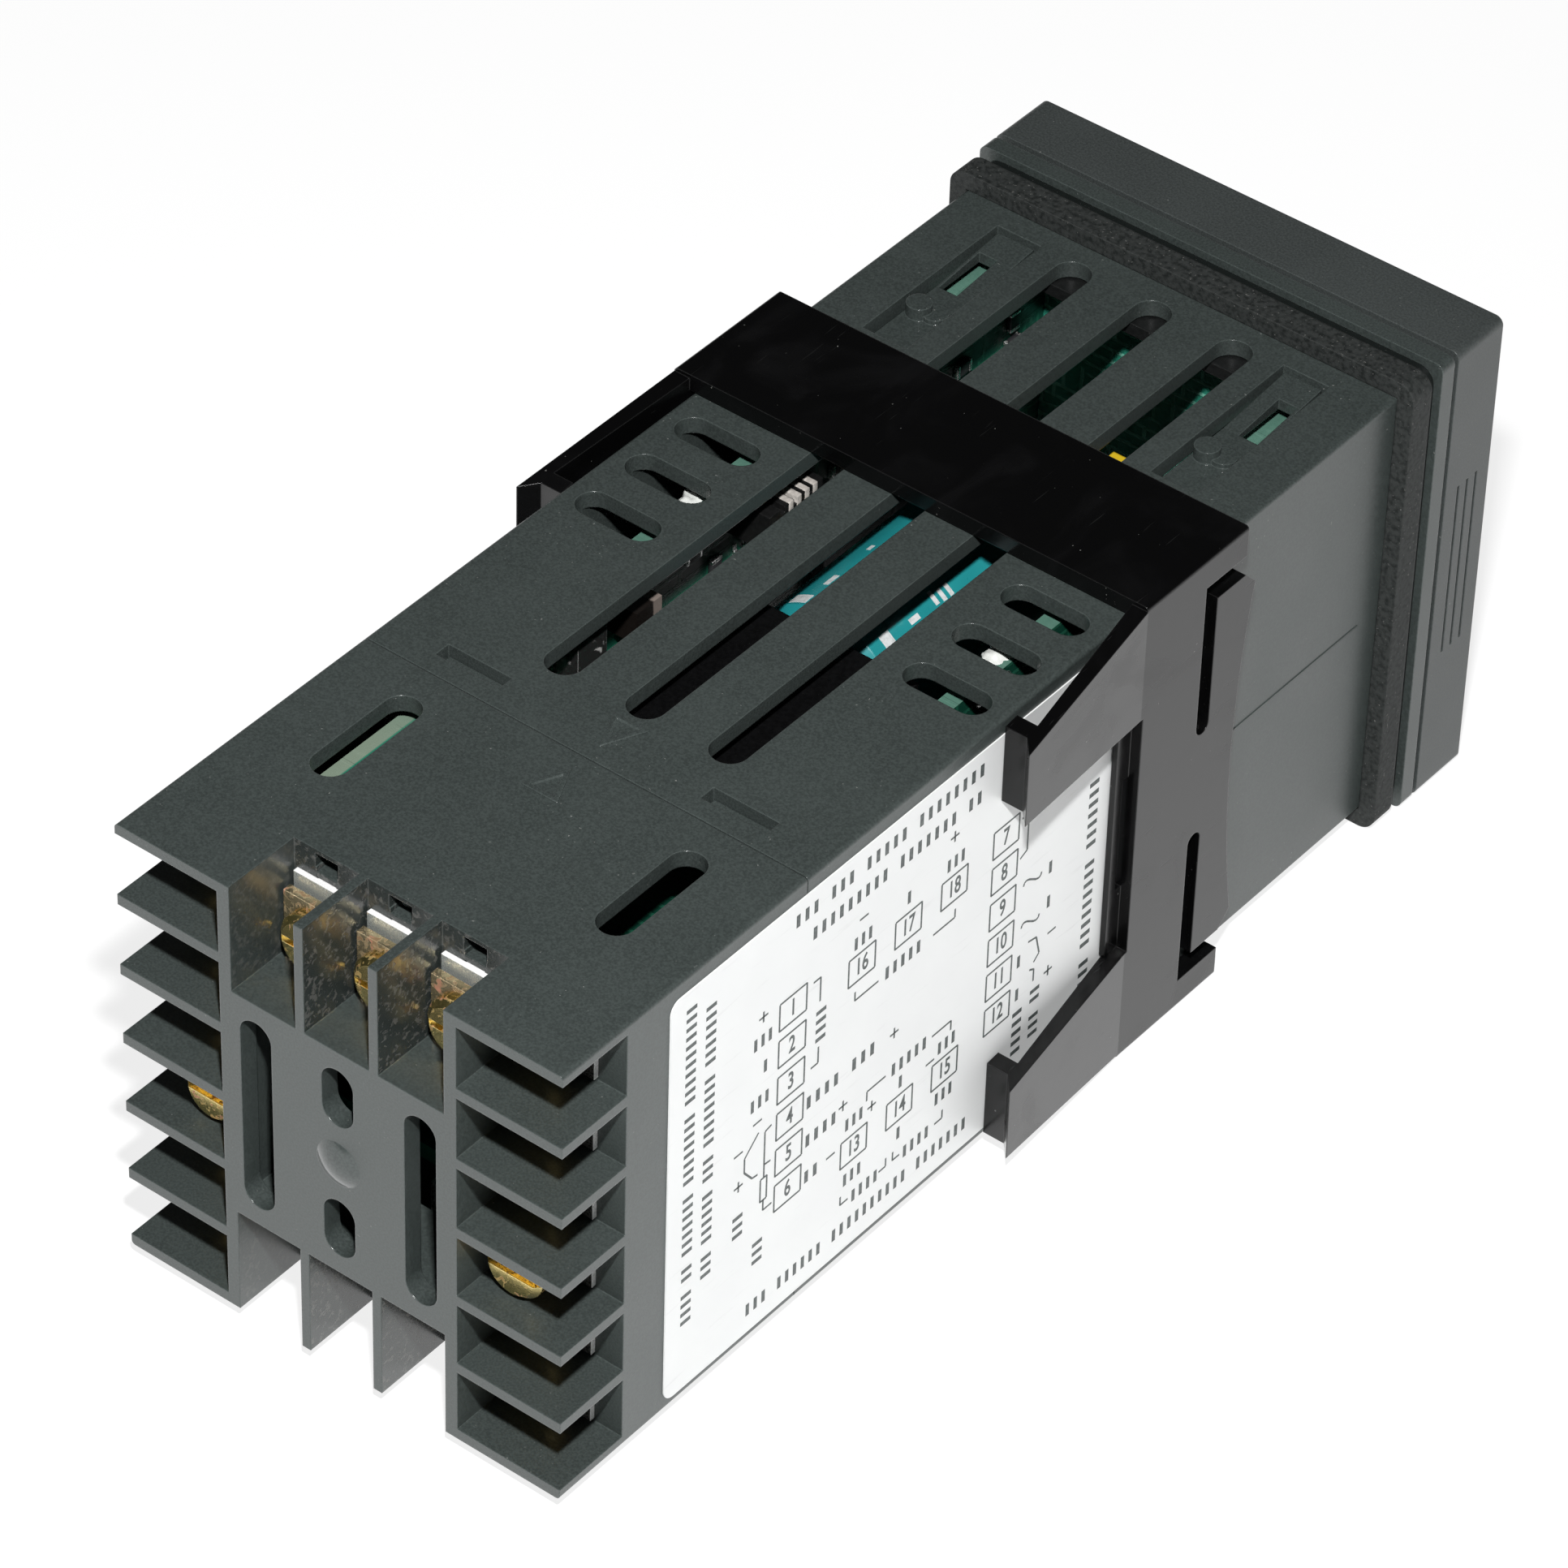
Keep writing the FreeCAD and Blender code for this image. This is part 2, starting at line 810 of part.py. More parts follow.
def clamp_tongue():
    """One tongue behind the band: it springs outwards and ends in a lug that bears on the sleeve."""
    root = clamp_end - sleeve_wall
    tip = clamp_end + tongue_length
    tip_outer = clamp_outer + tongue_flare
    lug_back = tip - lug_setback
    lug_front = lug_back - lug_length
    flank = tip_outer - tongue_thickness
    top_view = [
        (clamp_inner, root),
        (clamp_outer, root),
        (clamp_outer, clamp_end),
        (tip_outer, tip),
        (flank, lug_back),
        (clamp_inner, lug_back),
        (clamp_inner, lug_front),
        (flank - slide_gap, lug_front),
        (clamp_inner, clamp_end),
    ]
    low = -clamp_outer
    body = outline_prism([Vector(x, y, low) for x, y in top_view], along_z * (2 * clamp_outer))
    side_view = [
        (root, tongue_inner_height),
        (root, clamp_outer - sleeve_round),
        (clamp_end, clamp_outer - sleeve_round),
        (tip, tongue_tip_high),
        (tip, tongue_tip_low),
        (clamp_end, tongue_inner_height),
    ]
    start = clamp_inner - past
    outline = [Vector(start, y, z) for y, z in side_view]
    shape = outline_prism(outline, along_x * (tongue_flare + clamp_wall + 2 * past))
    return body.common(shape)


def mounting_clamp():
    """The sprung clamp that pulls the instrument against the panel."""
    bars = [clamp_edge_bar(), mirrored_x(clamp_edge_bar())]
    return joined(clamp_ring(), four_ways(clamp_tongue()) + bars)


def bezel_grips():
    """The fine upright grooves for the fingers on one side of the bezel."""
    middle = (bezel_rear + bezel_front) / 2
    grooves = []
    for i in range(grip_count):
        place = middle + (i - (grip_count - 1) / 2) * grip_pitch
        edges = (front_half - grip_depth, front_half + past)
        grooves.append(slab(edges, span(place, grip_width), span(0, grip_length)))
    return grooves


def front_bezel():
    """The front frame, open behind, with the window opening and the key openings."""
    shell = square_bar(front_half, bezel_front, bezel_rear, front_round)
    cavity = square_bar(front_half - bezel_wall, bezel_inner, bezel_rear + past)
    through = (bezel_front - past, bezel_inner + past)
    window = slab(span(0, window_width), through, span(window_centre, window_height))
    rebate = slab(
        span(0, window_width + 2 * window_lip),
        (bezel_front + bezel_face / 2, bezel_inner + past),
        span(window_centre, window_height + 2 * window_lip),
    )
    cuts = [cavity, window, rebate]
    for place in key_places:
        cuts.append(slab(span(place, key_width), through, span(key_centre, key_height)))
    for groove in bezel_grips():
        cuts += [groove, mirrored_x(groove)]
    return shell.cut(cuts)


def bezel_seal():
    """The thin rubber ring between the bezel and the sleeve's flange."""
    outer = front_half - gasket_step
    return square_ring(outer, bore_half + slide_gap, bezel_rear, flange_front - seat_gap, front_round)


def display_window():
    """The stepped clear panel in front of the digits."""
    front = bezel_front + slide_gap
    step = bezel_front + bezel_face / 2 + seat_gap
    back = front + window_thickness
    face = slab(
        span(0, window_width - 2 * slide_gap),
        (front, back),
        span(window_centre, window_height - 2 * slide_gap),
    )
    lip = slab(
        span(0, window_width + 2 * window_lip - 2 * slide_gap),
        (step, back),
        span(window_centre, window_height + 2 * window_lip - 2 * slide_gap),
    )
    return joined(face, [lip])


def board_carrier():
    """The inner frame: its collar lies in the bezel and its tube slides into the sleeve."""
    collar_outer = front_half - bezel_wall - slide_gap
    collar_inner = bore_half + slide_gap
    front = bezel_inner + slide_gap
    back = bezel_rear - slide_gap
    web_front = back - carrier_web
    tube_inner = carrier_half - carrier_wall
    collar = square_ring(collar_outer, collar_inner, front, back)
    web = square_ring(collar_outer, tube_inner, web_front, back)
    tube = square_ring(carrier_half, tube_inner, web_front, carrier_reach)
    return joined(collar, [web, tube])


def display_board():
    """The upright board behind the digits and keys."""
    half = board_half_height
    return slab((-half, half), (display_board_front, display_board_rear), (-half, half))


def display_block(width, height, centre):
    """A block of digits standing on the display board."""
    back = display_board_front - seat_gap
    return slab(span(0, width), (back - display_depth, back), span(centre, height))


def indicator_lamps():
    """The row of small lamps over the digits."""
    back = display_board_front - seat_gap
    lamps = []
    for i in range(lamp_count):
        place = (i - (lamp_count - 1) / 2) * lamp_pitch
        lamps.append(slab(span(place, lamp_width), (back - display_depth, back), span(lamp_level, lamp_height)))
    return Part.makeCompound(lamps)


def plunger_front():
    """The place of a switch plunger's front end."""
    return display_board_front - seat_gap - switch_height - key_travel - 2 * slide_gap


def key_switches():
    """The small push switches under the keys, each with a round well for its plunger."""
    back = display_board_front - seat_gap
    switches = []
    for place in key_places:
        body = slab(span(place, switch_side), (back - switch_height, back), span(key_centre, switch_side))
        well_end = plunger_front() + plunger_length + key_travel + 2 * slide_gap
        start = Vector(place, back - switch_height - past, key_centre)
        well = rod(plunger_radius + well_gap, start, Vector(place, well_end, key_centre))
        switches.append(body.cut(well))
    return Part.makeCompound(switches)


def key_cap(place):
    """A key: its cap in the bezel, a flange behind the face and a stem to the switch."""
    front = bezel_front - key_proud
    flange_front_face = bezel_inner + seat_gap
    flange_back = flange_front_face + key_flange_thickness
    cap = slab(
        span(place, key_width - 2 * key_play),
        (front, flange_back),
        span(key_centre, key_height - 2 * key_play),
    )
    rim_edges = [e for e in cap.Edges if e.CenterOfMass.y < front + 0.01]
    cap = cap.makeFillet(key_proud, rim_edges)
    flange = slab(
        span(place, key_width + 2 * key_flange),
        (flange_front_face, flange_back),
        span(key_centre, key_height + 2 * key_flange),
    )
    start = Vector(place, flange_back - seat_gap, key_centre)
    stem = rod(stem_radius, start, Vector(place, plunger_front() - seat_gap, key_centre))
    return joined(cap, [flange, stem])


def switch_plunger(place):
    """The plunger of one switch."""
    start = Vector(place, plunger_front(), key_centre)
    return rod(plunger_radius, start, start.add(along_y * plunger_length))


def side_board(side):
    """One of the two long upright boards, whose rear edge plugs into the side contacts."""
    front = display_board_rear + seat_gap
    half = board_half_height
    return slab((side * board_inner, side * board_outer), (front, board_rear), (-half, half))


def option_board():
    """The level board between the two long ones, narrowed at the rear where the contacts reach past it."""
    half = board_inner - slide_gap
    tail_half = half - fork_blade - 3 * slide_gap
    notch_front = board_rear - fork_reach - 3 * slide_gap
    wide = slab((-half, half), (option_front, notch_front), (option_level, option_top))
    tail = slab((-tail_half, tail_half), (option_front, option_rear), (option_level, option_top))
    return joined(wide, [tail])


def relay(index):
    """A sealed relay on the option board."""
    place = relay_middle + (index - 0.5) * relay_spacing
    front = option_front + relay_from_front
    low = option_top + seat_gap
    return slab(span(place, relay_width), (front, front + relay_length), (low, low + relay_height))


def board_links():
    """The plug strips that join the option boards to the processor board."""
    inner = board_inner - seat_gap
    low = option_top + seat_gap
    strip = slab((inner - link_width, inner), (link_back - link_length, link_back), (low, low + link_height))
    return Part.makeCompound(two_levels(strip))


def reservoir_capacitor():
    """The large smoothing capacitor, lying along the sleeve, with its two leads bent to the board."""
    centre = Vector(capacitor_across, capacitor_front, capacitor_up)
    waist = capacitor_radius - capacitor_rim
    belly = capacitor_length - 2 * capacitor_rim
    rim_front = Part.makeCone(waist, capacitor_radius, capacitor_rim, centre, along_y)
    belly_start = centre.add(along_y * capacitor_rim)
    can = rod(capacitor_radius, belly_start, belly_start.add(along_y * belly))
    rim_start = belly_start.add(along_y * belly)
    rim_rear = Part.makeCone(capacitor_radius, waist, capacitor_rim, rim_start, along_y)
    pieces = [rim_front, rim_rear]
    bend = capacitor_front - 3 * lead_radius
    for side in (-1, 1):
        height = capacitor_up + side * lead_spacing / 2
        inner = Vector(capacitor_across, capacitor_front + lead_radius, height)
        corner = Vector(capacitor_across, bend, height)
        pieces.append(rod(lead_radius, inner, corner.sub(along_y * lead_radius)))
        pieces.append(rod(lead_radius, corner, Vector(-board_inner + seat_gap, bend, height)))
    return joined(can, pieces)


def film_capacitor():
    """The flat mains filter capacitor."""
    inner = -board_inner + seat_gap
    return slab((inner, inner + film_width), (film_front, film_front + film_length), (film_low, film_low + film_height))


def core_box():
    """The ends of the transformer core along each axis."""
    inner = -board_inner + core_standoff
    return (inner, inner + core_width), (core_front, core_front + core_length), (core_low, core_low + core_height)


def transformer_core():
    """The transformer's ferrite core: a frame with a leg across its middle."""
    x, y, z = core_box()
    body = slab(x, y, z)
    middle = (z[0] + z[1]) / 2
    window_y = (y[0] + core_leg, y[1] - core_leg)
    through = (x[0] - past, x[1] + past)
    upper = slab(through, window_y, (middle + core_leg / 2, z[1] - core_leg / 2))
    lower = slab(through, window_y, (z[0] + core_leg / 2, middle - core_leg / 2))
    return body.cut([upper, lower])


def transformer_winding():
    """The taped winding round the core's middle leg, with the foot that stands on the board."""
    x, y, z = core_box()
    middle = (z[0] + z[1]) / 2
    along = (y[0] + core_leg + slide_gap, y[1] - core_leg - slide_gap)
    outer = core_height / 2 - core_leg / 2 - slide_gap
    across = (x[0] - winding_overhang, x[1] + winding_overhang)
    coil = slab(across, along, (middle - outer, middle + outer))
    leg_x = (x[0] - seat_gap, x[1] + seat_gap)
    leg = slab(leg_x, (along[0] - past, along[1] + past), span(middle, core_leg + 2 * slide_gap))
    foot = slab((-board_inner + seat_gap, across[0]), along, (middle - outer, middle + outer))
    return joined(coil.cut(leg), [foot])


def on_processor_board(length, width, height, front, low):
    """The block of a component standing on the processor board's inner face."""
    inner = board_inner - seat_gap
    return slab((inner - height, inner), (front, front + length), (low, low + width))


def pin_header():
    """The white test connector, with a gap between its ways."""
    body = on_processor_board(header_length, header_width, header_height, header_front, header_low)
    pitch = header_length / header_ways
    gap = pitch / 3
    top = header_low + header_width
    cuts = []
    for i in range(1, header_ways):
        place = header_front + i * pitch
        inward = (board_inner - header_height - past, board_inner - header_height / 2)
        cuts.append(slab(inward, span(place, gap), (top - gap, top + past)))
    return body.cut(cuts)


def couplers():
    """The row of signal couplers low on the processor board."""
    parts = []
    for i in range(coupler_count):
        front = coupler_front + i * coupler_pitch
        parts.append(on_processor_board(coupler_length, coupler_width, coupler_height, front, coupler_low))
    return Part.makeCompound(parts)


def build_housing():
    """Everything that stays in the panel."""
    save("housing_sleeve", housing_sleeve())
    save("terminal_block", terminal_block())
    save("panel_gasket", panel_gasket())
    save("terminal_label", terminal_label())
    side_groups = {
        "terminal_contacts": [side_contact(height) for height in side_bay_heights],
        "wire_saddles": [side_saddle(height) for height in side_bay_heights],
        "terminal_screws": side_screws(),
    }
    for name, group in side_groups.items():
        save(f"{name}_left", Part.makeCompound(group))
        save(f"{name}_right", Part.makeCompound([mirrored_x(one) for one in group]))
    end_groups = {
        "terminal_contacts": [end_contact(across) for across in end_bay_places],
        "wire_saddles": [end_saddle(across) for across in end_bay_places],
        "terminal_screws": end_screws(),
    }
    for name, group in end_groups.items():
        save(f"{name}_top", Part.makeCompound(group))
        save(f"{name}_bottom", Part.makeCompound([mirrored_z(one) for one in group]))


def build_front():
    """The frame, window and keys of the plug-in unit."""
    save("front_bezel", front_bezel())
    save("bezel_seal", bezel_seal())
    save("display_window", display_window())
    save("board_carrier", board_carrier())
    save("display_board", display_board())
    save("upper_display", display_block(upper_display_width, upper_display_height, upper_display_centre))
    save("lower_display", display_block(lower_display_width, lower_display_height, lower_display_centre))
    save("indicator_lamps", indicator_lamps())
    save("key_switches", key_switches())
    for i, place in enumerate(key_places, start=1):
        save(f"key_{i}", key_cap(place))
        save(f"switch_plunger_{i}", switch_plunger(place))


def build_boards():
    """The boards of the plug-in unit and what stands on them."""
    save("processor_board", side_board(1))
    save("power_board", side_board(-1))
    save("upper_option_board", option_board())
    save("lower_option_board", mirrored_z(option_board()))
    for index, name in enumerate(("right", "left")):
        save(f"upper_relay_{name}", relay(index))
        save(f"lower_relay_{name}", mirrored_z(relay(index)))
    save("board_links", board_links())
    save("reservoir_capacitor", reservoir_capacitor())
    save("film_capacitor", film_capacitor())
    save("transformer_core", transformer_core())
    save("transformer_winding", transformer_winding())
    save("processor_chip", on_processor_board(chip_side, chip_side, chip_height, chip_front, -chip_side / 2))
    save("pin_header", pin_header())
    save("bead_capacitor", on_processor_board(bead_length, bead_height, bead_height, bead_front, bead_low))
    save(
        "crystal",
        on_processor_board(crystal_length, crystal_width, crystal_height, crystal_front, crystal_low),
    )
    save("couplers", couplers())


os.makedirs("parts", exist_ok=True)
build_housing()
save("mounting_clamp", mounting_clamp())
build_front()
build_boards()
print(f"overall depth {rear - bezel_front + key_proud:.1f} mm, behind the panel {rear:.1f} mm")
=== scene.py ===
# %% [markdown]
# # A temperature controller for a control panel, dressed in Blender
# The CAD model is a fixed frame of separate solids. This lesson gives every solid a finish, adds the
# thin things that a solid model leaves out, such as print, solder and digits, and sets up the picture.
# Sizes are written in millimetres and turned into Blender's metres where they are used.

# %% Load the frame
import bpy
import json
import math
from mathutils import Matrix, Vector


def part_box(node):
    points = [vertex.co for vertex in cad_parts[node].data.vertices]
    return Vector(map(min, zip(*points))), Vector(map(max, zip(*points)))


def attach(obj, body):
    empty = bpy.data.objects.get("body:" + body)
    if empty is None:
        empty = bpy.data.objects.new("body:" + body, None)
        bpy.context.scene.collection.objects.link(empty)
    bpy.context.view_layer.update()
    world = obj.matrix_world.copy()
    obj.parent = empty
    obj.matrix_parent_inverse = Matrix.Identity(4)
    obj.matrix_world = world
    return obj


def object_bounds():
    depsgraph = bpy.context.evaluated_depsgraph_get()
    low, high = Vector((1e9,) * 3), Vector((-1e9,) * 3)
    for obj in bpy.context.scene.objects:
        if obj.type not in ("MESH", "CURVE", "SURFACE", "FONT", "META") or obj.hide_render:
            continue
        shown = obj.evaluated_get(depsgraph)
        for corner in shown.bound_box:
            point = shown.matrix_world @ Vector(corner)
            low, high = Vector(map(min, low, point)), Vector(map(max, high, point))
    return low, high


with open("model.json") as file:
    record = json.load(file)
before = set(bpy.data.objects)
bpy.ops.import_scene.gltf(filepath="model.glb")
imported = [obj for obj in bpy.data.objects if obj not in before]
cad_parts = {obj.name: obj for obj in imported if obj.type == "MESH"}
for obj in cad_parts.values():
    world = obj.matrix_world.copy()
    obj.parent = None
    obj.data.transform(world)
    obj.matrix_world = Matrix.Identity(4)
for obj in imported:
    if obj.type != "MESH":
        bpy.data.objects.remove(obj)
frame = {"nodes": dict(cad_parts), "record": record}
cad_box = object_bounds()
nodes = frame["nodes"]
MM = 0.001
print("nodes", len(nodes), "box", [[round(v / MM, 1) for v in corner] for corner in cad_box])

# %% [markdown]
# ## Camera
# The instrument lies on a table and is seen from behind, from high on its label side, with a long
# lens. The camera's turn is built from its azimuth, elevation and roll, so each can be read by itself.

# %% Camera
AZIMUTH, ELEVATION, ROLL = 217.35, 40.65, -1.81
EYE = (-292.3, 435.0, 416.1)
LENS = 179.9


def camera_turn(azimuth, elevation, roll):
    """The camera's turn as a matrix whose columns are its right, up and back."""
    a, e, r = (math.radians(v) for v in (azimuth, elevation, roll))
    back = Vector((math.sin(a) * math.cos(e), -math.cos(a) * math.cos(e), math.sin(e)))
    level = Vector((0, 0, 1)).cross(back).normalized()
    up = back.cross(level)
    right = math.cos(r) * level - math.sin(r) * up
    return Matrix((right, back.cross(right), back)).transposed()


def add_camera():
    """The camera at the photograph's place, for a square picture."""
    turn = camera_turn(AZIMUTH, ELEVATION, ROLL).to_euler()
    bpy.ops.object.camera_add(location=Vector(EYE) * MM, rotation=turn)
    camera = bpy.context.object
    camera.name = "camera"
    camera.data.lens = LENS
    camera.data.sensor_width = 36
    camera.data.clip_end = 20
    bpy.context.scene.camera = camera


add_camera()
bpy.context.scene.view_settings.view_transform = "Standard"
print("camera", EYE, "lens", LENS)

# %% [markdown]
# ## Sums on shader values
# A finish is a small calculation: grain plus stains, less wear. Wiring each sum by hand hides the
# idea, so one class holds an output of a node and adds a Math node for each sign in an expression.
# Everything else comes from one method that takes a node's type, its settings and its inputs.

# %% Shader values and finishes
# A Mix node has sockets for numbers, vectors and colours: these are the ones for colours.
MIX_FACTOR, MIX_A, MIX_B, MIX_RESULT = 0, 6, 7, 2


class Value:
    """An output of a shader node that takes part in sums."""

    def __init__(self, finish, socket):
        self.finish, self.socket = finish, socket

    def math(self, operation, a, b=0.0):
        return self.finish.add("ShaderNodeMath", {"operation": operation}, {0: a, 1: b})

    def __add__(self, other):
        return self.math("ADD", self, other)

    def __sub__(self, other):
        return self.math("SUBTRACT", self, other)

    def __rsub__(self, other):
        return self.math("SUBTRACT", other, self)

    def __mul__(self, other):
        return self.math("MULTIPLY", self, other)

    def __abs__(self):
        return self.math("ABSOLUTE", self)

    __radd__ = __add__
    __rmul__ = __mul__


FINISHES = {}


class Finish:
    """A material in the making: a Principled shader and the values that feed it."""

    def __init__(self, name, **constants):
        self.material = FINISHES[name] = bpy.data.materials.new(name)
        self.material.use_nodes = True
        self.tree = self.material.node_tree
        self.tree.nodes.clear()
        self.shader = self.tree.nodes.new("ShaderNodeBsdfPrincipled")
        self.output = self.tree.nodes.new("ShaderNodeOutputMaterial")
        self.tree.links.new(self.shader.outputs[0], self.output.inputs[0])
        self.set(**constants)

    def feed(self, socket, value):
        if isinstance(value, Value):
            self.tree.links.new(value.socket, socket)
        else:
            socket.default_value = value

    def set(self, **inputs):
        """Feeds the shader's inputs, named as in Blender with _ for each space."""
        for name, value in inputs.items():
            self.feed(self.shader.inputs[name.replace("_", " ")], value)

    def add(self, kind, settings=None, inputs=None, out=0):
        """A node of this kind: its settings first, then its inputs; gives its output."""
        node = self.tree.nodes.new(kind)
        for name, value in (settings or {}).items():
            setattr(node, name, value)
        for name, value in (inputs or {}).items():
            self.feed(node.inputs[name], value)
        return Value(self, node.outputs[out])

    def place(self, stretch=(1, 1, 1)):
        """Where a point is on the piece, in millimetres, stretched along the axes."""
        point = self.add("ShaderNodeTexCoord", out="Object")
        scale = tuple(s / MM for s in stretch)
        return self.add("ShaderNodeMapping", None, {"Vector": point, "Scale": scale})

    def where(self, axis):
        """How far along X, Y or Z a point is, in millimetres."""
        return self.add("ShaderNodeSeparateXYZ", None, {0: self.place()}, out=axis)

    def noise(self, size, detail=2.0, stretch=(1, 1, 1), distort=0.0):
        """Soft spots about this many millimetres across, from 0 to 1."""
        inputs = {
            "Vector": self.place(stretch), "Scale": 1 / size, "Detail": detail, "Distortion": distort,
        }
        return self.add("ShaderNodeTexNoise", None, inputs)

    def window(self, value, low, high):
        """0 where the value is under low, 1 where it is over high, and a smooth rise between."""
        inputs = {"Value": value, "From Min": low, "From Max": high}
        return self.add("ShaderNodeMapRange", {"interpolation_type": "SMOOTHSTEP"}, inputs)

    def facing(self, axis):
        """The part of the surface's direction along X, Y or Z."""
        normal = self.add("ShaderNodeNewGeometry", out="Normal")
        return self.add("ShaderNodeSeparateXYZ", None, {0: normal}, out=axis)

    def mix(self, factor, a, b):
        """Colour a where the factor is 0 and colour b where it is 1."""
        a, b = ((*c, 1.0) if isinstance(c, tuple) else c for c in (a, b))
        inputs = {MIX_FACTOR: factor, MIX_A: a, MIX_B: b}
        return self.add("ShaderNodeMix", {"data_type": "RGBA"}, inputs, out=MIX_RESULT)

    def rounded(self, radius):
        """The surface's direction as if its edges were rounded, and how near an edge a point is."""
        normal = self.add("ShaderNodeBevel", {"samples": 6}, {"Radius": radius * MM})
        flat = self.add("ShaderNodeNewGeometry", out="Normal")
        both = {0: normal, 1: flat}
        same = self.add("ShaderNodeVectorMath", {"operation": "DOT_PRODUCT"}, both, out="Value")
        return normal, self.window(1 - same, 0.004, 0.12)

    def bump(self, height, depth, normal=None):
        """Relief this many millimetres deep, over the surface's own direction."""
        inputs = {"Height": height, "Distance": depth * MM, "Strength": 1.0}
        if normal is not None:
            inputs["Normal"] = normal
        return self.add("ShaderNodeBump", None, inputs)

    def done(self, colour, rough, height, depth, normal=None):
        """Feeds the shader what nearly every finish has: colour, roughness and relief."""
        self.set(Base_Color=colour, Roughness=rough, Normal=self.bump(height, depth, normal))


def shade(colour, factor, lift=0.0):
    """The colour made lighter or darker by a factor, and lifted evenly."""
    return tuple(min(1.0, v * factor + lift) for v in colour)


print("shader tools ready")

# %% [markdown]
# ## Moulded plastics
# Case, bezel, clamp and frame are all moulded. They differ in colour, gloss and grain, so one recipe
# makes them: a fine grain in colour and relief, broad stains, edges that hands have polished smoother
# and that are lighter, partly from that wear and partly as a painted highlight, and specks of dust.
# Some parts of the mould were smoother: the block's top and bottom bays, the dome in its middle and
# the sleeve's spring fingers are glossy, so these finishes are told by a point's place where to shine.

# %% Moulded plastic
DUST, GRIME = (0.42, 0.42, 0.4), (0.19, 0.185, 0.175)


def moulding(name, colour, gloss, grain, relief, wear, dust, edge=0.16, stain=0.12, shiny=None):
    """A moulded plastic: gloss is its roughness, grain the size of its texture in millimetres.

    Shiny, where given, says how smooth each place is, and where painted shade and grime darken it.
    """
    finish = Finish(name, IOR=1.5)
    normal, edges = finish.rounded(edge)
    fine = finish.noise(grain, 2.0)
    broad = finish.noise(9.0, 4.0, distort=0.6)
    body = finish.mix(finish.window(fine, 0.3, 0.7), shade(colour, 0.84), shade(colour, 1.3))
    body = finish.mix(finish.window(broad, 0.35, 0.7) * stain, body, shade(colour, 1.8))
    dusty = finish.window(finish.noise(6.0, 2.0), 0.42, 0.7) * dust
    specks = finish.window(finish.noise(0.3, 1.0), 0.75, 0.79) * dusty
    body = finish.mix(specks, body, DUST)
    # Edges turn lighter: partly wear, partly a painted highlight along the rounded edges.
    body = finish.mix(edges * wear * 0.35, body, shade(colour, 2.6, 0.015))
    rough = fine * 0.12 + broad * 0.14 + (gloss - 0.13) - edges * 0.2 * wear + specks * 0.3
    if shiny:
        smooth, grime_and_shade = shiny(finish)
        dull = finish.window(finish.noise(0.5, 5.0, distort=0.5), 0.52, 0.66) * grime_and_shade
        # Painted shade: the marked walls are darkened to half their colour; the pale flecks after it are
        # grime.
        body = finish.mix(grime_and_shade * 0.7, body, shade(colour, 0.5))
        body = finish.mix(dull * 0.35, body, GRIME)
        rough = rough - smooth * (1 - dull * 0.6) * (rough - POLISHED)
    finish.done(body, rough, fine, relief, normal)


# Each of these is a place in millimetres, given as where a change of gloss begins and ends.
REAR_FACE, BAY_BACK, BAY_FLOOR, BAY_SIDE = (106.8, 106.95), (98.0, 99.0), (11.6, 11.8), (10.6, 10.8)
DOME_SQUARED = (4.4, 5.0)
FINGER_TIP, FINGER_ROOT, SLEEVE_WALL = (2.3, 2.6), (20.5, 20.8), (19.5, 20.0)
FINGER_INNER, FINGER_OUTER = (12.5, 12.7), (17.0, 17.2)
POLISHED = 0.11


def block_gloss(finish):
    """Where the block is smooth, its top and bottom bays and its dome, and which bay walls get painted
    shade and grime.
    """
    x, y, z = (finish.where(axis) for axis in "XYZ")
    rear = finish.window(y, *REAR_FACE)
    bays = finish.window(abs(z), *BAY_FLOOR) * (1 - finish.window(abs(x), *BAY_SIDE))
    bays = bays * finish.window(y, *BAY_BACK) * (1 - rear)
    dome = (1 - finish.window(x * x + z * z, *DOME_SQUARED)) * rear
    walls = bays * (1 - finish.window(abs(finish.facing("Z")), 0.5, 0.9))
    return bays * 0.45 + walls * 0.15 + dome, walls


def finger_gloss(finish):
    """Where the sleeve is smooth: its spring fingers and their posts, with no painted shade or grime."""
    x, y, z = (finish.where(axis) for axis in "XYZ")
    along = finish.window(y, *FINGER_TIP) * (1 - finish.window(y, *FINGER_ROOT))
    across = finish.window(abs(x), *FINGER_INNER) * (1 - finish.window(abs(x), *FINGER_OUTER))
    return along * across * finish.window(abs(z), *SLEEVE_WALL), 0.0


CASE = (0.0365, 0.0447, 0.0425)
moulding("case_plastic", CASE, 0.4, 0.2, 0.004, 0.9, 0.35, shiny=finger_gloss)
moulding("block_plastic", CASE, 0.4, 0.2, 0.004, 0.9, 0.35, shiny=block_gloss)
moulding("bezel_plastic", (0.041, 0.047, 0.046), 0.46, 0.2, 0.006, 0.6, 0.5)
moulding("frame_plastic", (0.005, 0.0055, 0.0055), 0.5, 0.5, 0.008, 0.3, 0.05)
moulding("key_plastic", (0.09, 0.1, 0.1), 0.5, 0.2, 0.01, 0.8, 0.1)
moulding("plunger_plastic", (0.5, 0.5, 0.48), 0.4, 0.5, 0.005, 0.2, 0.0)
moulding("switch_plastic", (0.035, 0.036, 0.036), 0.4, 0.3, 0.006, 0.4, 0.05)
moulding("relay_plastic", (0.003, 0.003, 0.0032), 0.3, 0.4, 0.004, 0.3, 0.02)
moulding("link_plastic", (0.028, 0.029, 0.03), 0.45, 0.3, 0.008, 0.4, 0.1)
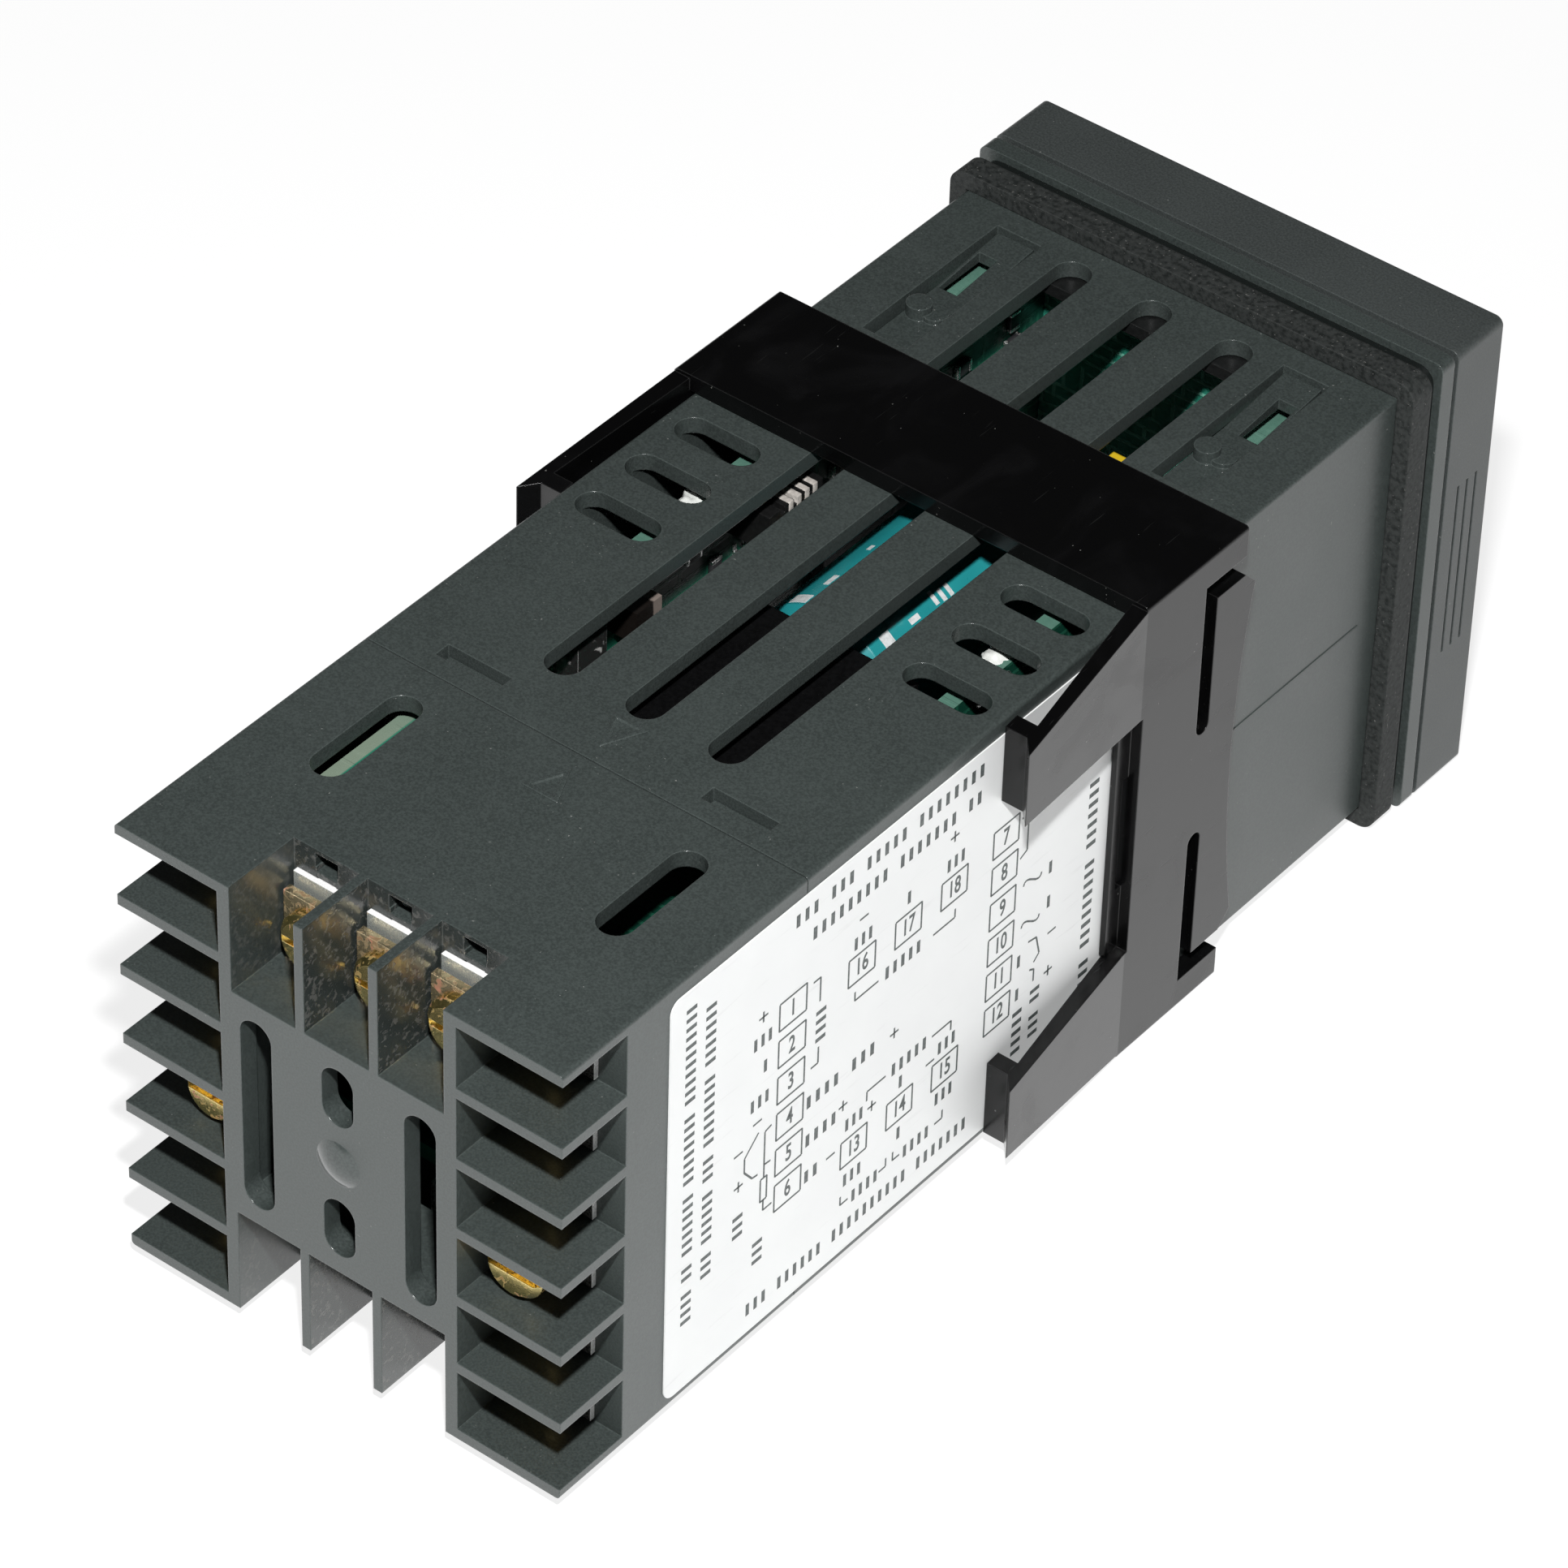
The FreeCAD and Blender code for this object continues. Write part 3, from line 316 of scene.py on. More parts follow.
moulding("header_plastic", (0.006, 0.006, 0.006), 0.42, 0.5, 0.005, 0.2, 0.0, 0.1, 0.06)
moulding("rib_plastic", (0.42, 0.39, 0.36), 0.42, 0.4, 0.005, 0.2, 0.0, 0.06, 0.06)
print("moulded plastics", 11)

# %% [markdown]
# The clamp is smoother and blacker than the case. Its skin shows long faint scratches from sliding
# along the case, a few smears, and stray white dust, which read as changes of gloss more than of
# colour.

# %% Clamp


def clamp_finish():
    """Smooth black plastic with scratches along its slide, smears and dust."""
    finish = Finish("clamp_plastic", IOR=1.39)
    normal, edges = finish.rounded(0.14)
    scratch = finish.window(finish.noise(0.3, 2.0, (1, 0.05, 1)), 0.7, 0.78)
    smear = finish.window(finish.noise(7.0, 4.0, (1, 0.6, 1), 1.2), 0.45, 0.75)
    dusty = finish.window(finish.noise(4.0, 1.0), 0.5, 0.65)
    specks = finish.window(finish.noise(0.35, 1.0), 0.77, 0.81) * dusty
    body = finish.mix(smear, (0.0018, 0.0018, 0.0019), (0.0036, 0.0036, 0.0039))
    body = finish.mix(scratch * 0.2, body, (0.03, 0.03, 0.03))
    body = finish.mix(specks * 0.5, body, (0.5, 0.5, 0.47))
    # Edges a little lighter: a painted highlight along the rounded edges.
    body = finish.mix(edges * 0.2, body, (0.05, 0.05, 0.05))
    rough = smear * 0.12 + scratch * 0.15 + specks * 0.3 + 0.2
    ripple = finish.noise(1.1, 2.0) * 0.6 + scratch * -0.5
    finish.done(body, rough, ripple, 0.008, normal)


clamp_finish()
print("clamp ready")

# %% [markdown]
# The gasket is soft rubber that has pressed into a dusty panel. Its foot stays smooth and dark, and
# its lip holds brown dust and pale crumbs, so the dust follows how far forward a point is.

# %% Rubber


def rubber(name, dusty_from, dusty_to):
    """Black rubber whose dust grows from one place to another along the instrument."""
    finish = Finish(name, IOR=1.42)
    normal, edges = finish.rounded(0.2)
    lip = finish.window(finish.where("Y"), dusty_from, dusty_to)
    mottle = finish.noise(0.5, 5.0)
    crumbs = finish.window(finish.noise(0.28, 1.5), 0.66, 0.74)
    film = lip * finish.window(mottle, 0.3, 0.62)
    body = finish.mix(film, (0.0045, 0.0065, 0.006), (0.025, 0.028, 0.027))
    body = finish.mix(lip * crumbs * 0.5, body, (0.17, 0.17, 0.16))
    # Edges a little lighter: a painted highlight along the rounded edges.
    body = finish.mix(edges * 0.25, body, (0.045, 0.048, 0.046))
    rough = lip * 0.25 + mottle * 0.2 + 0.42
    finish.done(body, rough, mottle * 0.7 + crumbs * 0.8, 0.05, normal)


rubber("gasket_rubber", -2.9, -2.3)
rubber("seal_rubber", -6.0, -5.6)
print("rubbers", 2)

# %% [markdown]
# The label is a white plastic film. It is nearly even, so the eye finds it by its slight waves and by
# the rub marks where the clamp has passed. The print on it is a dark grey ink that is a little thin
# in places.

# %% Label film and ink


def label_finish():
    """White film with faint rub marks and waves."""
    finish = Finish("label_film", IOR=1.45)
    cloud = finish.noise(6.0, 3.0)
    rub = finish.window(finish.noise(0.5, 2.0, (1, 0.1, 1)), 0.62, 0.8)
    body = finish.mix(cloud, (0.79, 0.8, 0.795), (0.74, 0.75, 0.75))
    body = finish.mix(rub * 0.22, body, (0.6, 0.6, 0.6))
    finish.done(body, rub * 0.2 + cloud * 0.12 + 0.36, finish.noise(3.5, 2.0), 0.015)


def ink_finish(name, colour, thin):
    """Printing ink: thin is its colour where less of it was laid down."""
    finish = Finish(name, IOR=1.45)
    patch = finish.noise(0.35, 3.0)
    body = finish.mix(finish.window(patch, 0.4, 0.75), colour, thin)
    finish.done(body, patch * 0.2 + 0.4, patch, 0.004)


label_finish()
ink_finish("label_ink", (0.05, 0.06, 0.059), (0.12, 0.135, 0.132))
ink_finish("pale_ink", (0.62, 0.64, 0.64), (0.45, 0.47, 0.47))
print("print finishes", 3)

# %% [markdown]
# Wire plates and screws are brass, passivated a warm gold, and they have tarnished: tan patches, a
# pink bloom of copper and dull dark spots. Metal shows its tarnish as patches that are both darker and
# rougher, so one mask drives colour, metallic and roughness. Every metal edge is lightened a little as a
# painted highlight, and the tinned contacts' outer edges turn white and matt as a painted highlight. The
# plates and contacts of the side bays are more tarnished and get dark colours as painted shade under the
# fins.

# %% Brass and other metals
# The white of the painted highlight on the contacts' outer edges.
HIGHLIGHT_WHITE = (0.86, 0.86, 0.85)


def metal(name, clean, stain, bloom, gloss, tarnish, spot=1.1, matt=0.0, relief=0.008, rim=None):
    """A metal with patches of stain and bloom; tarnish is how much they cover, matt how dull it is.

    A rim is an axis and how far out along it the metal turns white and matt, a painted highlight on the
    edge.
    """
    finish = Finish(name, IOR=1.5)
    normal, edges = finish.rounded(0.1)
    patch = finish.noise(spot, 5.0, distort=0.8)
    cover = finish.window(patch, 0.62 - tarnish * 0.3, 0.72 - tarnish * 0.2)
    pink = finish.window(finish.noise(spot * 1.6, 3.0), 0.55, 0.62) * cover
    grain = finish.noise(0.16, 2.0)
    body = finish.mix(cover, clean, stain)
    body = finish.mix(pink, body, bloom)
    # Edges lighter and less metallic: a painted highlight along the rims of every metal part.
    body = finish.mix(edges * 0.4, body, shade(clean, 1.15))
    rough = cover * 0.3 + grain * 0.15 + (gloss - 0.05)
    metallic = (1 - matt) - cover * 0.5 - edges * 0.3
    # Painted highlight: past the rim the metal is white and nearly without metal, so the lamp lights it
    # as a bright edge.
    if rim:
        axis, start = rim
        painted_highlight = finish.window(abs(finish.where(axis)), start, start + 0.05)
        body = finish.mix(painted_highlight, body, HIGHLIGHT_WHITE)
        metallic = metallic + painted_highlight * (0.1 - metallic)
    finish.set(Metallic=metallic)
    finish.done(body, rough, patch * 0.6 + grain * 0.2, relief, normal)


TAN, COPPER = (0.3, 0.19, 0.1), (0.62, 0.3, 0.2)
TIN = {"spot": 0.8, "matt": 0.4, "relief": 0.0015}
metal(
    "contact_tin", (0.48, 0.52, 0.51), (0.36, 0.34, 0.28), (0.5, 0.4, 0.3), 0.25, 0.0,
    rim=("Z", 19.39), **TIN,
)
# Painted shade: the side bays' contacts get a dark colour for the shade under the fins.
metal(
    "side_tin_painted_shade", (0.1, 0.1, 0.095), (0.06, 0.055, 0.05), (0.1, 0.07, 0.05), 0.25, 0.2,
    rim=("X", 19.44), **TIN,
)
metal("saddle_brass", (0.84, 0.68, 0.42), TAN, COPPER, 0.22, 0.4, 0.7)
# Painted shade: the side bays' saddles get a dark colour for the shade under the fins.
metal(
    "side_brass_painted_shade", (0.2, 0.155, 0.095), (0.06, 0.045, 0.03), (0.15, 0.08, 0.055), 0.4, 0.6, 0.7,
)
metal("screw_brass", (0.9, 0.72, 0.3), (0.5, 0.32, 0.12), COPPER, 0.18, 0.25, 0.6)
metal(
    "solder_metal", (0.76, 0.76, 0.75), (0.5, 0.5, 0.48), (0.6, 0.58, 0.52), 0.25, 0.2, 0.4,
)
metal("pin_gold", (0.9, 0.72, 0.36), (0.6, 0.42, 0.18), (0.7, 0.5, 0.25), 0.2, 0.1, 0.5)
metal(
    "crystal_metal", (0.78, 0.78, 0.76), (0.6, 0.6, 0.58), (0.5, 0.5, 0.5), 0.3, 0.1,
)
print("metals", 8)

# %% [markdown]
# A circuit board is glass cloth under green resist. Copper tracks lift the resist a little and make
# it lighter, and the cut edge shows the pale cloth with no resist, palest towards the rear, where a
# little resist has run over its inner side. The tracks run in straight lines with corners, which a
# brick pattern laid over itself in two directions gives.

# %% Circuit board
REAR_CLOTH, RESIST_EDGE = (0.17, 0.22, 0.165), (0.004, 0.15, 0.09)


def board_finish(name, axis, flat, green=(0.004, 0.045, 0.028), copper=(0.014, 0.1, 0.06)):
    """A board whose faces look along this axis; flat turns its face to the pattern's plane."""
    finish = Finish(name, IOR=1.5)
    face = finish.window(abs(finish.facing(axis)), 0.6, 0.8)
    point = finish.add("ShaderNodeMapping", None, {"Vector": finish.place(), "Rotation": flat})
    lines = []
    for width, height in ((7.3, 1.27), (1.9, 5.1)):
        inputs = {
            "Vector": point, "Scale": 1.0, "Brick Width": width, "Row Height": height,
            "Mortar Size": 0.2, "Mortar Smooth": 0.25, "Color1": (0, 0, 0, 1), "Color2": (0, 0, 0, 1),
            "Mortar": (1, 1, 1, 1),
        }
        lines.append(finish.add("ShaderNodeTexBrick", None, inputs, out="Fac"))
    here = finish.window(finish.noise(5.0, 1.0), 0.44, 0.5)
    track = lines[0] * here + lines[1] * (1 - here)
    weave = finish.noise(0.5, 3.0)
    resist = finish.mix(track, green, copper)
    resist = finish.mix(weave * 0.35, resist, (0.004, 0.05, 0.03))
    cloth = finish.mix(weave, (0.055, 0.14, 0.105), (0.09, 0.195, 0.15))
    rear = finish.window(finish.where("Y"), 70.0, 85.0)
    cloth = finish.mix(rear, cloth, REAR_CLOTH)
    inner = 1 - finish.window(abs(finish.where("X")), 15.1, 15.3)
    cloth = finish.mix(rear * inner, cloth, RESIST_EDGE)
    body = finish.mix(face, cloth, resist)
    finish.done(body, weave * 0.2 + (0.55 - face * 0.27), track * 0.8 + weave * 0.3, 0.03)


QUARTER = math.pi / 2
board_finish("side_board", "X", (0, QUARTER, QUARTER))
board_finish("level_board", "Z", (0, 0, 0))
board_finish(
    "front_board", "Y", (QUARTER, 0, 0), (0.03, 0.26, 0.18), (0.2, 0.55, 0.42),
)
print("boards", 3)

# %% [markdown]
# Components have skins of their own: shrunk plastic sleeves, dipped coats, tape and ferrite. Each is
# a colour that clouds a little, with its own gloss and relief, and tape adds the edges of its turns.

# %% Component skins


def skin(name, colour, second, gloss, size, relief, turns=0.0):
    """A component's skin: it clouds into a second colour, and turns is the pitch of wound tape."""
    finish = Finish(name, IOR=1.5)
    normal, edges = finish.rounded(0.25)
    cloud = finish.noise(size, 3.0)
    height = cloud
    body = finish.mix(cloud, colour, second)
    if turns:
        inputs = {"Vector": finish.place(), "Scale": 1 / turns, "Distortion": 0.3}
        band = finish.add("ShaderNodeTexWave", {"bands_direction": "X"}, inputs, out="Fac")
        body = finish.mix(finish.window(band, 0.9, 1.0) * 0.6, body, shade(colour, 0.45))
        height = cloud * 0.3 + band
    # Edges a little lighter: a painted highlight along the rounded edges.
    body = finish.mix(edges * 0.3, body, shade(colour, 1.3, 0.02))
    finish.done(body, cloud * 0.2 + (gloss - 0.1), height, relief, normal)


def bead_finish():
    """A dipped coat, nearly black, with a pinkish tan band at the bead's front end."""
    finish = Finish("bead_coat", IOR=1.5)
    cloud = finish.noise(0.6, 3.0)
    band = 1 - finish.window(finish.where("Y") + cloud * 0.3, 54.9, 55.1)
    body = finish.mix(band, (0.008, 0.006, 0.005), (0.2, 0.165, 0.145))
    finish.done(body, cloud * 0.2 + 0.3, cloud, 0.03)


skin("capacitor_sleeve", (0.012, 0.2, 0.22), (0.02, 0.27, 0.28), 0.3, 3.0, 0.02)
skin("film_plastic", (0.72, 0.5, 0.02), (0.62, 0.42, 0.02), 0.3, 1.5, 0.01)
skin("ferrite", (0.035, 0.035, 0.037), (0.06, 0.06, 0.062), 0.6, 0.4, 0.03)
skin("winding_tape", (0.66, 0.47, 0.06), (0.72, 0.54, 0.1), 0.3, 2.0, 0.02, 3.4)
bead_finish()
skin("white_glue", (0.74, 0.75, 0.72), (0.58, 0.6, 0.57), 0.4, 0.7, 0.08)
skin("chip_body", (0.018, 0.018, 0.02), (0.03, 0.03, 0.032), 0.5, 0.3, 0.01)
skin("lamp_plastic", (0.4, 0.06, 0.04), (0.5, 0.1, 0.07), 0.25, 0.5, 0.01)
skin("display_face", (0.03, 0.03, 0.032), (0.04, 0.04, 0.042), 0.35, 2.0, 0.008)
skin("digit_plastic", (0.4, 0.36, 0.33), (0.46, 0.42, 0.38), 0.35, 0.6, 0.006)
print("skins", 10)

# %% [markdown]
# The window is smoked plastic that filters everything but red. Light really passes through it, so
# the digits behind it show dimly, and its face carries faint wiping marks.

# %% Window


def window_finish():
    """Smoked red clear plastic with wiping marks."""
    finish = Finish("window_acrylic", IOR=1.49, Transmission_Weight=1.0)
    wipe = finish.noise(2.0, 4.0, (0.15, 1, 1))
    body = finish.mix(wipe, (0.3, 0.045, 0.04), (0.36, 0.06, 0.05))
    finish.done(body, finish.window(wipe, 0.5, 0.9) * 0.2 + 0.03, finish.noise(12.0, 1.0), 0.02)


window_finish()
print("finishes", len(FINISHES))

# %% [markdown]
# ## Finishes on the solids
# Each solid keeps its mesh and gets its finish in its material slot. The record already says which
# solids share a slot, so the finishes are handed out by slot, and the boards by the way they face.

# %% Dress the solids
# Most slots have the name of their finish. These haven't, and some nodes have a finish of their own.
BY_SLOT = {
    "label_print": "label_film", "contact_brass": "contact_tin", "switch_body": "switch_plastic",
    "relay_case": "relay_plastic", "crystal_can": "crystal_metal",
}
OWN = {
    "terminal_block": "block_plastic", "bezel_seal": "seal_rubber", "processor_chip": "chip_body",
    "couplers": "chip_body", "wire_saddles_left": "side_brass_painted_shade", "wire_saddles_right": "side_brass_painted_shade",
    "terminal_contacts_left": "side_tin_painted_shade", "terminal_contacts_right": "side_tin_painted_shade",
    "processor_board": "side_board", "power_board": "side_board", "display_board": "front_board",
    "upper_option_board": "level_board", "lower_option_board": "level_board",
}


def dress_solids():
    """Puts a finish in every solid's material slots."""
    for entry in frame["record"]["subparts"]:
        name, slot_name = entry["node"], entry["material_slot"]
        finish = FINISHES[OWN.get(name) or BY_SLOT.get(slot_name, slot_name)]
        for slot in nodes[name].material_slots:
            slot.material = finish


dress_solids()

# %% [markdown]
# ## Tools for new pieces
# New pieces are made as by hand: a primitive at its size and place, faces chosen by where they look,
# an inset or an extrusion, and a bevel that is applied. A finished piece lies at the origin with its
# place in its mesh, and a copy has a mesh of its own.

# %% Modelling helpers
TO_FRONT, TO_REAR = (QUARTER, 0, 0), (-QUARTER, 0, 0)


def begin():
    """Back to object mode with nothing selected."""
    if bpy.context.object and bpy.context.object.mode != "OBJECT":
        bpy.ops.object.mode_set(mode="OBJECT")
    bpy.ops.object.select_all(action="DESELECT")


def settle(name):
    """Names the piece in hand and puts its place, turn and size into its mesh."""
    piece = bpy.context.object
    bpy.ops.object.transform_apply(location=True, rotation=True, scale=True)
    piece.name = piece.data.name = name
    return piece


def brick(name, x, y, z):
    """A box between the two ends given along each axis."""
    begin()
    middle = [sum(ends) / 2 * MM for ends in (x, y, z)]
    bpy.ops.mesh.primitive_cube_add(size=1, location=middle)
    bpy.context.object.scale = [abs(b - a) * MM for a, b in (x, y, z)]
    return settle(name)


def prism(name, sides, radius, depth, place, turn, narrow=1.0, cap="NGON"):
    """A prism or round bar about a place; it stands upright until it is turned."""
    begin()
    bpy.ops.mesh.primitive_cylinder_add(
        vertices=sides, radius=radius * MM, depth=depth * MM, location=Vector(place) * MM,
        rotation=turn, end_fill_type=cap,
    )
    bpy.context.object.scale = (narrow, 1, 1)
    return settle(name)


def corners(node):
    """The two corners of a node's box in millimetres."""
    return [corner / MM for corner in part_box(node)]


def take(*pieces):
    """Selects just these pieces, the first of them active."""
    begin()
    for piece in pieces:
        piece.select_set(True)
    bpy.context.view_layer.objects.active = pieces[0]


def choose(piece, test):
    """Into edit mode with the faces selected whose middle and direction pass the test."""
    take(piece)
    bpy.ops.object.mode_set(mode="EDIT")
    bpy.ops.mesh.select_mode(type="FACE")
    bpy.ops.mesh.select_all(action="DESELECT")
    bpy.ops.object.mode_set(mode="OBJECT")
    for face in piece.data.polygons:
        face.select = bool(test(face.center / MM, face.normal))
    bpy.ops.object.mode_set(mode="EDIT")


def pull(piece, test, inset, move):
    """Insets the chosen faces, then extrudes them by a move in millimetres."""
    choose(piece, test)
    if inset:
        bpy.ops.mesh.inset(thickness=inset * MM)
    shift = {"value": Vector(move) * MM}
    bpy.ops.mesh.extrude_region_move(TRANSFORM_OT_translate=shift)
    bpy.ops.object.mode_set(mode="OBJECT")
    return piece


def modify(piece, kind, **settings):
    """Adds a modifier of this kind and applies it."""
    take(piece)
    modifier = piece.modifiers.new(kind.lower(), kind)
    for name, value in settings.items():
        setattr(modifier, name, value)
    bpy.ops.object.modifier_apply(modifier=modifier.name)
    return piece


def soften(piece, width, segments=2):
    """Rounds the piece's edges and shades it smooth between its faces."""
    modify(piece, "BEVEL", width=width * MM, segments=segments, limit_method="ANGLE", angle_limit=0.6)
    bpy.ops.object.shade_smooth_by_angle(angle=0.6)
    return piece


def copy(piece, move=(0, 0, 0)):
    """A copy of the piece with a mesh of its own, moved by millimetres."""
    twin = piece.copy()
    twin.data = piece.data.copy()
    twin.data.transform(Matrix.Translation(Vector(move) * MM))
    bpy.context.collection.objects.link(twin)
    return twin


def join(name, pieces):
    """Several pieces made one."""
    take(*pieces)
    bpy.ops.object.join()
    return settle(name)


def wear(piece, finish, body, slot):
    """Gives the piece its finish and the body it rides on; the slot it is given is not used."""
    piece.data.materials.clear()
    piece.data.materials.append(FINISHES[finish])
    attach(piece, body)
    return piece


print("modelling tools ready")

# %% [markdown]
# ## Print on the label
# The label lists the terminals: eighteen numbered boxes, with brackets and signs between them and
# lines of text round the edge. The lines of text are laid out as rows of plain blocks. Everything is
# a stroke, a thin bar laid on the film from one point to another, so one bar is modelled and copied
# with a turn for each.

# %% Strokes and numbers
FILM = nodes["terminal_label"].bound_box[0][0] / MM
INK = 0.012
LINE = 0.19
# A digit's share of the font's size, how narrow it is drawn, and how much its strokes are widened.
DIGIT_SHARE, NARROW, BOLD = 0.73, 0.7, 0.04
TO_LABEL = (QUARTER, 0, -QUARTER)
pattern = brick("stroke", (-0.5, 0.5), (-0.5, 0.5), (-0.5, 0.5))


def stroke(start, end, width):
    """A bar of ink on the label between two points given as (y, z)."""
    start, end = Vector(start), Vector(end)
    along = end - start
    size = Matrix.Diagonal((INK, along.length, width)).to_4x4()
    turn = Matrix.Rotation(math.atan2(along.y, along.x), 4, "X")
    middle = (start + end) / 2
    place = Matrix.Translation((FILM - INK / 2, middle.x, middle.y))
    twin = copy(pattern)
    twin.data.transform(Matrix.Scale(MM, 4) @ place @ turn @ size @ Matrix.Scale(1 / MM, 4))
    return twin


def path(points):
    """Strokes through the points."""
    return [stroke(a, b, LINE) for a, b in zip(points, points[1:])]


def text_row(start, way, counts, pitch, height=1.25):
    """A row of plain blocks in groups of these counts, one block for each character."""
    pieces, place = [], Vector(start)
    way = Vector(way)
    across = Vector((-way.y, way.x)) * height / 2
    for count in counts:
        for _ in range(count):
            pieces.append(stroke(place - across, place + across, pitch * 0.42))
            place += way * pitch
        place += way * pitch
    return pieces


def number(text, place, height, turn):
    """A number laid flat at a place and turned, its middle at the place."""
    begin()
    bpy.ops.object.text_add()
    piece = bpy.context.object
    piece.data.body = text
    piece.data.size = height / DIGIT_SHARE * MM
    piece.data.align_x, piece.data.align_y = "CENTER", "CENTER"
    piece.data.extrude = INK / 2 * MM
    piece.data.offset = BOLD * MM
    piece.data.resolution_u = 4
    bpy.ops.object.convert(target="MESH")
    piece.scale = (NARROW, 1, 1)
    piece.rotation_euler = turn
    piece.location = Vector(place) * MM
    return settle("number")


BOX, BOX_DIGITS = (3.35, 2.8), 1.75
PLACES = {i + 1: (79.3, 10.1 - 3.84 * i) for i in range(6)}
PLACES.update({i + 7: (52.15, 9.45 - 3.79 * i) for i in range(6)})
PLACES.update({i + 13: (70.8 - 5.9 * i, -10.7) for i in range(3)})
PLACES.update({i + 16: (70.65 - 5.9 * i, 8.6) for i in range(3)})


def numbered_boxes():
    """The terminal numbers, each in its box."""
    pieces = []
    for value, (y, z) in PLACES.items():
        a, b = BOX[0] / 2, BOX[1] / 2
        pieces += path([(y + a, z - b), (y + a, z + b), (y - a, z + b), (y - a, z - b), (y + a, z - b)])
        pieces.append(number(str(value), (FILM - INK / 2, y, z), BOX_DIGITS, TO_LABEL))
    return pieces


print("film at", round(FILM, 3))

# %% [markdown]
# The signs between the boxes are common ones: brackets that group terminals, plus and minus, a wave
# for alternating current, a resistor and the tip of a thermocouple.

# %% Signs, rows and the finished print
PLUSES = [
    (85.6, -4.4), (66.0, -1.9), (72.4, -5.2), (45.3, -9.5), (83.0, 11.7), (68.6, -7.9), (59.1, 14.1),
]
MINUSES = [(85.7, -0.9), (73.8, -9.6), (45.1, -5.3), (83.4, 0.9), (61.0, -8.6), (70.6, 13.5)]


def sign_paths():
    """The brackets and circuit signs, each a list of (y, z) points."""
    wave = [(1.2 * math.cos(math.pi * i / 8), 0.42 * math.sin(math.pi * i / 4)) for i in range(9)]
    paths = [
        [(76.8, 10.9), (75.9, 10.9), (75.9, 8.4)], [(75.9, 3.6), (75.9, 1.9), (76.8, 1.9)],
        [(71.4, 6.2), (71.4, 5.3), (68.4, 5.3)], [(61.4, 5.3), (58.6, 5.3), (58.6, 6.2)],
        [(69.3, -6.9), (69.3, -5.9), (66.9, -5.9)], [(60.9, -5.9), (58.4, -5.9), (58.4, -6.9)],
        [(72.3, -15.2), (72.3, -16.1), (71.3, -16.1)], [(67.3, -16.1), (66.4, -16.1), (66.4, -15.2)],
        [(65.5, -15.2), (65.5, -16.1), (64.6, -16.1)], [(60.0, -16.1), (59.0, -16.1), (59.0, -15.2)],
        [(50.1, 10.0), (49.2, 9.6), (49.2, 6.1), (50.1, 5.7)],
        [(48.3, -4.4), (47.2, -4.6), (46.7, -6.6), (47.4, -7.2)],
        [(47.9, -7.7), (47.3, -8.0), (47.3, -9.3)],
        [(83.2, -0.3), (84.9, -1.9), (84.9, -3.4), (83.9, -4.7), (83.2, -4.8)],
        [(81.6, -0.6), (82.4, -0.8), (82.4, -5.6)], [(82.4, -4.3), (81.6, -4.4)],
        [(82.8, -5.7), (82.0, -5.7), (82.0, -8.1), (82.8, -8.1), (82.8, -5.7)],
        [(82.4, -8.1), (82.4, -9.2), (81.3, -9.2)],
    ]
    for z in (2.3, -2.2):
        paths.append([(48.2 + dy, z + dz) for dy, dz in wave])
    for y, z in PLUSES + MINUSES:
        paths.append([(y - 0.55, z), (y + 0.55, z)])
    for y, z in PLUSES:
        paths.append([(y, z - 0.55), (y, z + 0.55)])
    return paths


# Each row is its start along Y and Z, its pitch, and how many characters each word has.
FORWARD_ROWS = [
    (79.0, 18.8, 1.1, 3, 3, 5, 8), (76.8, 16.1, 1.09, 9, 7, 2), (84.0, -18.9, 1.0, 3, 6, 10, 7),
    (83.9, 9.3, 0.9, 3), (82.6, 6.35, 0.9, 1), (84.1, 3.0, 0.9, 3), (76.9, -1.6, 1.15, 4, 3),
    (76.9, -5.7, 1.1, 4), (76.9, -9.6, 1.1, 2), (67.3, 5.4, 1.0, 5), (65.9, -5.9, 1.0, 5),
    (71.8, -7.7, 0.9, 3), (64.9, -7.9, 0.9, 1), (59.8, -7.9, 0.9, 3), (71.8, -13.7, 0.9, 3),
    (64.9, -13.5, 0.9, 1), (59.9, -13.4, 0.9, 3), (70.6, -16.2, 0.95, 4), (63.9, -16.2, 0.95, 4),
    (71.5, 11.3, 0.9, 3), (64.8, 11.6, 0.9, 1), (59.7, 11.4, 0.9, 3), (45.8, 2.0, 0.9, 1),
    (45.8, -1.7, 0.9, 1), (49.5, -5.7, 0.9, 1), (49.5, -9.3, 0.9, 1),
]
UPWARD_ROWS = [
    (91.9, -14.2, 0.94, 4, 2, 7, 8, 11), (89.5, -10.9, 0.94, 3, 6, 3, 8, 7),
    (40.3, -16.5, 1.08, 5, 9, 7), (49.3, -15.6, 1.05, 5), (47.0, -15.2, 0.95, 3, 2),
    (75.7, 4.4, 0.95, 4), (83.0, -14.2, 0.95, 3), (85.6, -9.6, 0.95, 3),
]


def label_print():
    """All the ink on the label as one piece."""
    pieces = numbered_boxes()
    for points in sign_paths():
        pieces += path(points)
    for way, rows in (((-1, 0), FORWARD_ROWS), ((0, 1), UPWARD_ROWS)):
        for y, z, pitch, *counts in rows:
            pieces += text_row((y, z), way, counts, pitch)
    return wear(join("label_print_marks", pieces), "label_ink", "housing", "label_print")


ink = label_print()
print("print faces", len(ink.data.polygons))

# %% [markdown]
# ## Marks moulded on the case
# Raised marks on the sleeve and on the terminal block show which side goes up. Here they are two
# plain triangles that point at each other over the seam. A three-sided prism is enough: its top is
# inset, and the middle sunk back, which leaves a raised outline.

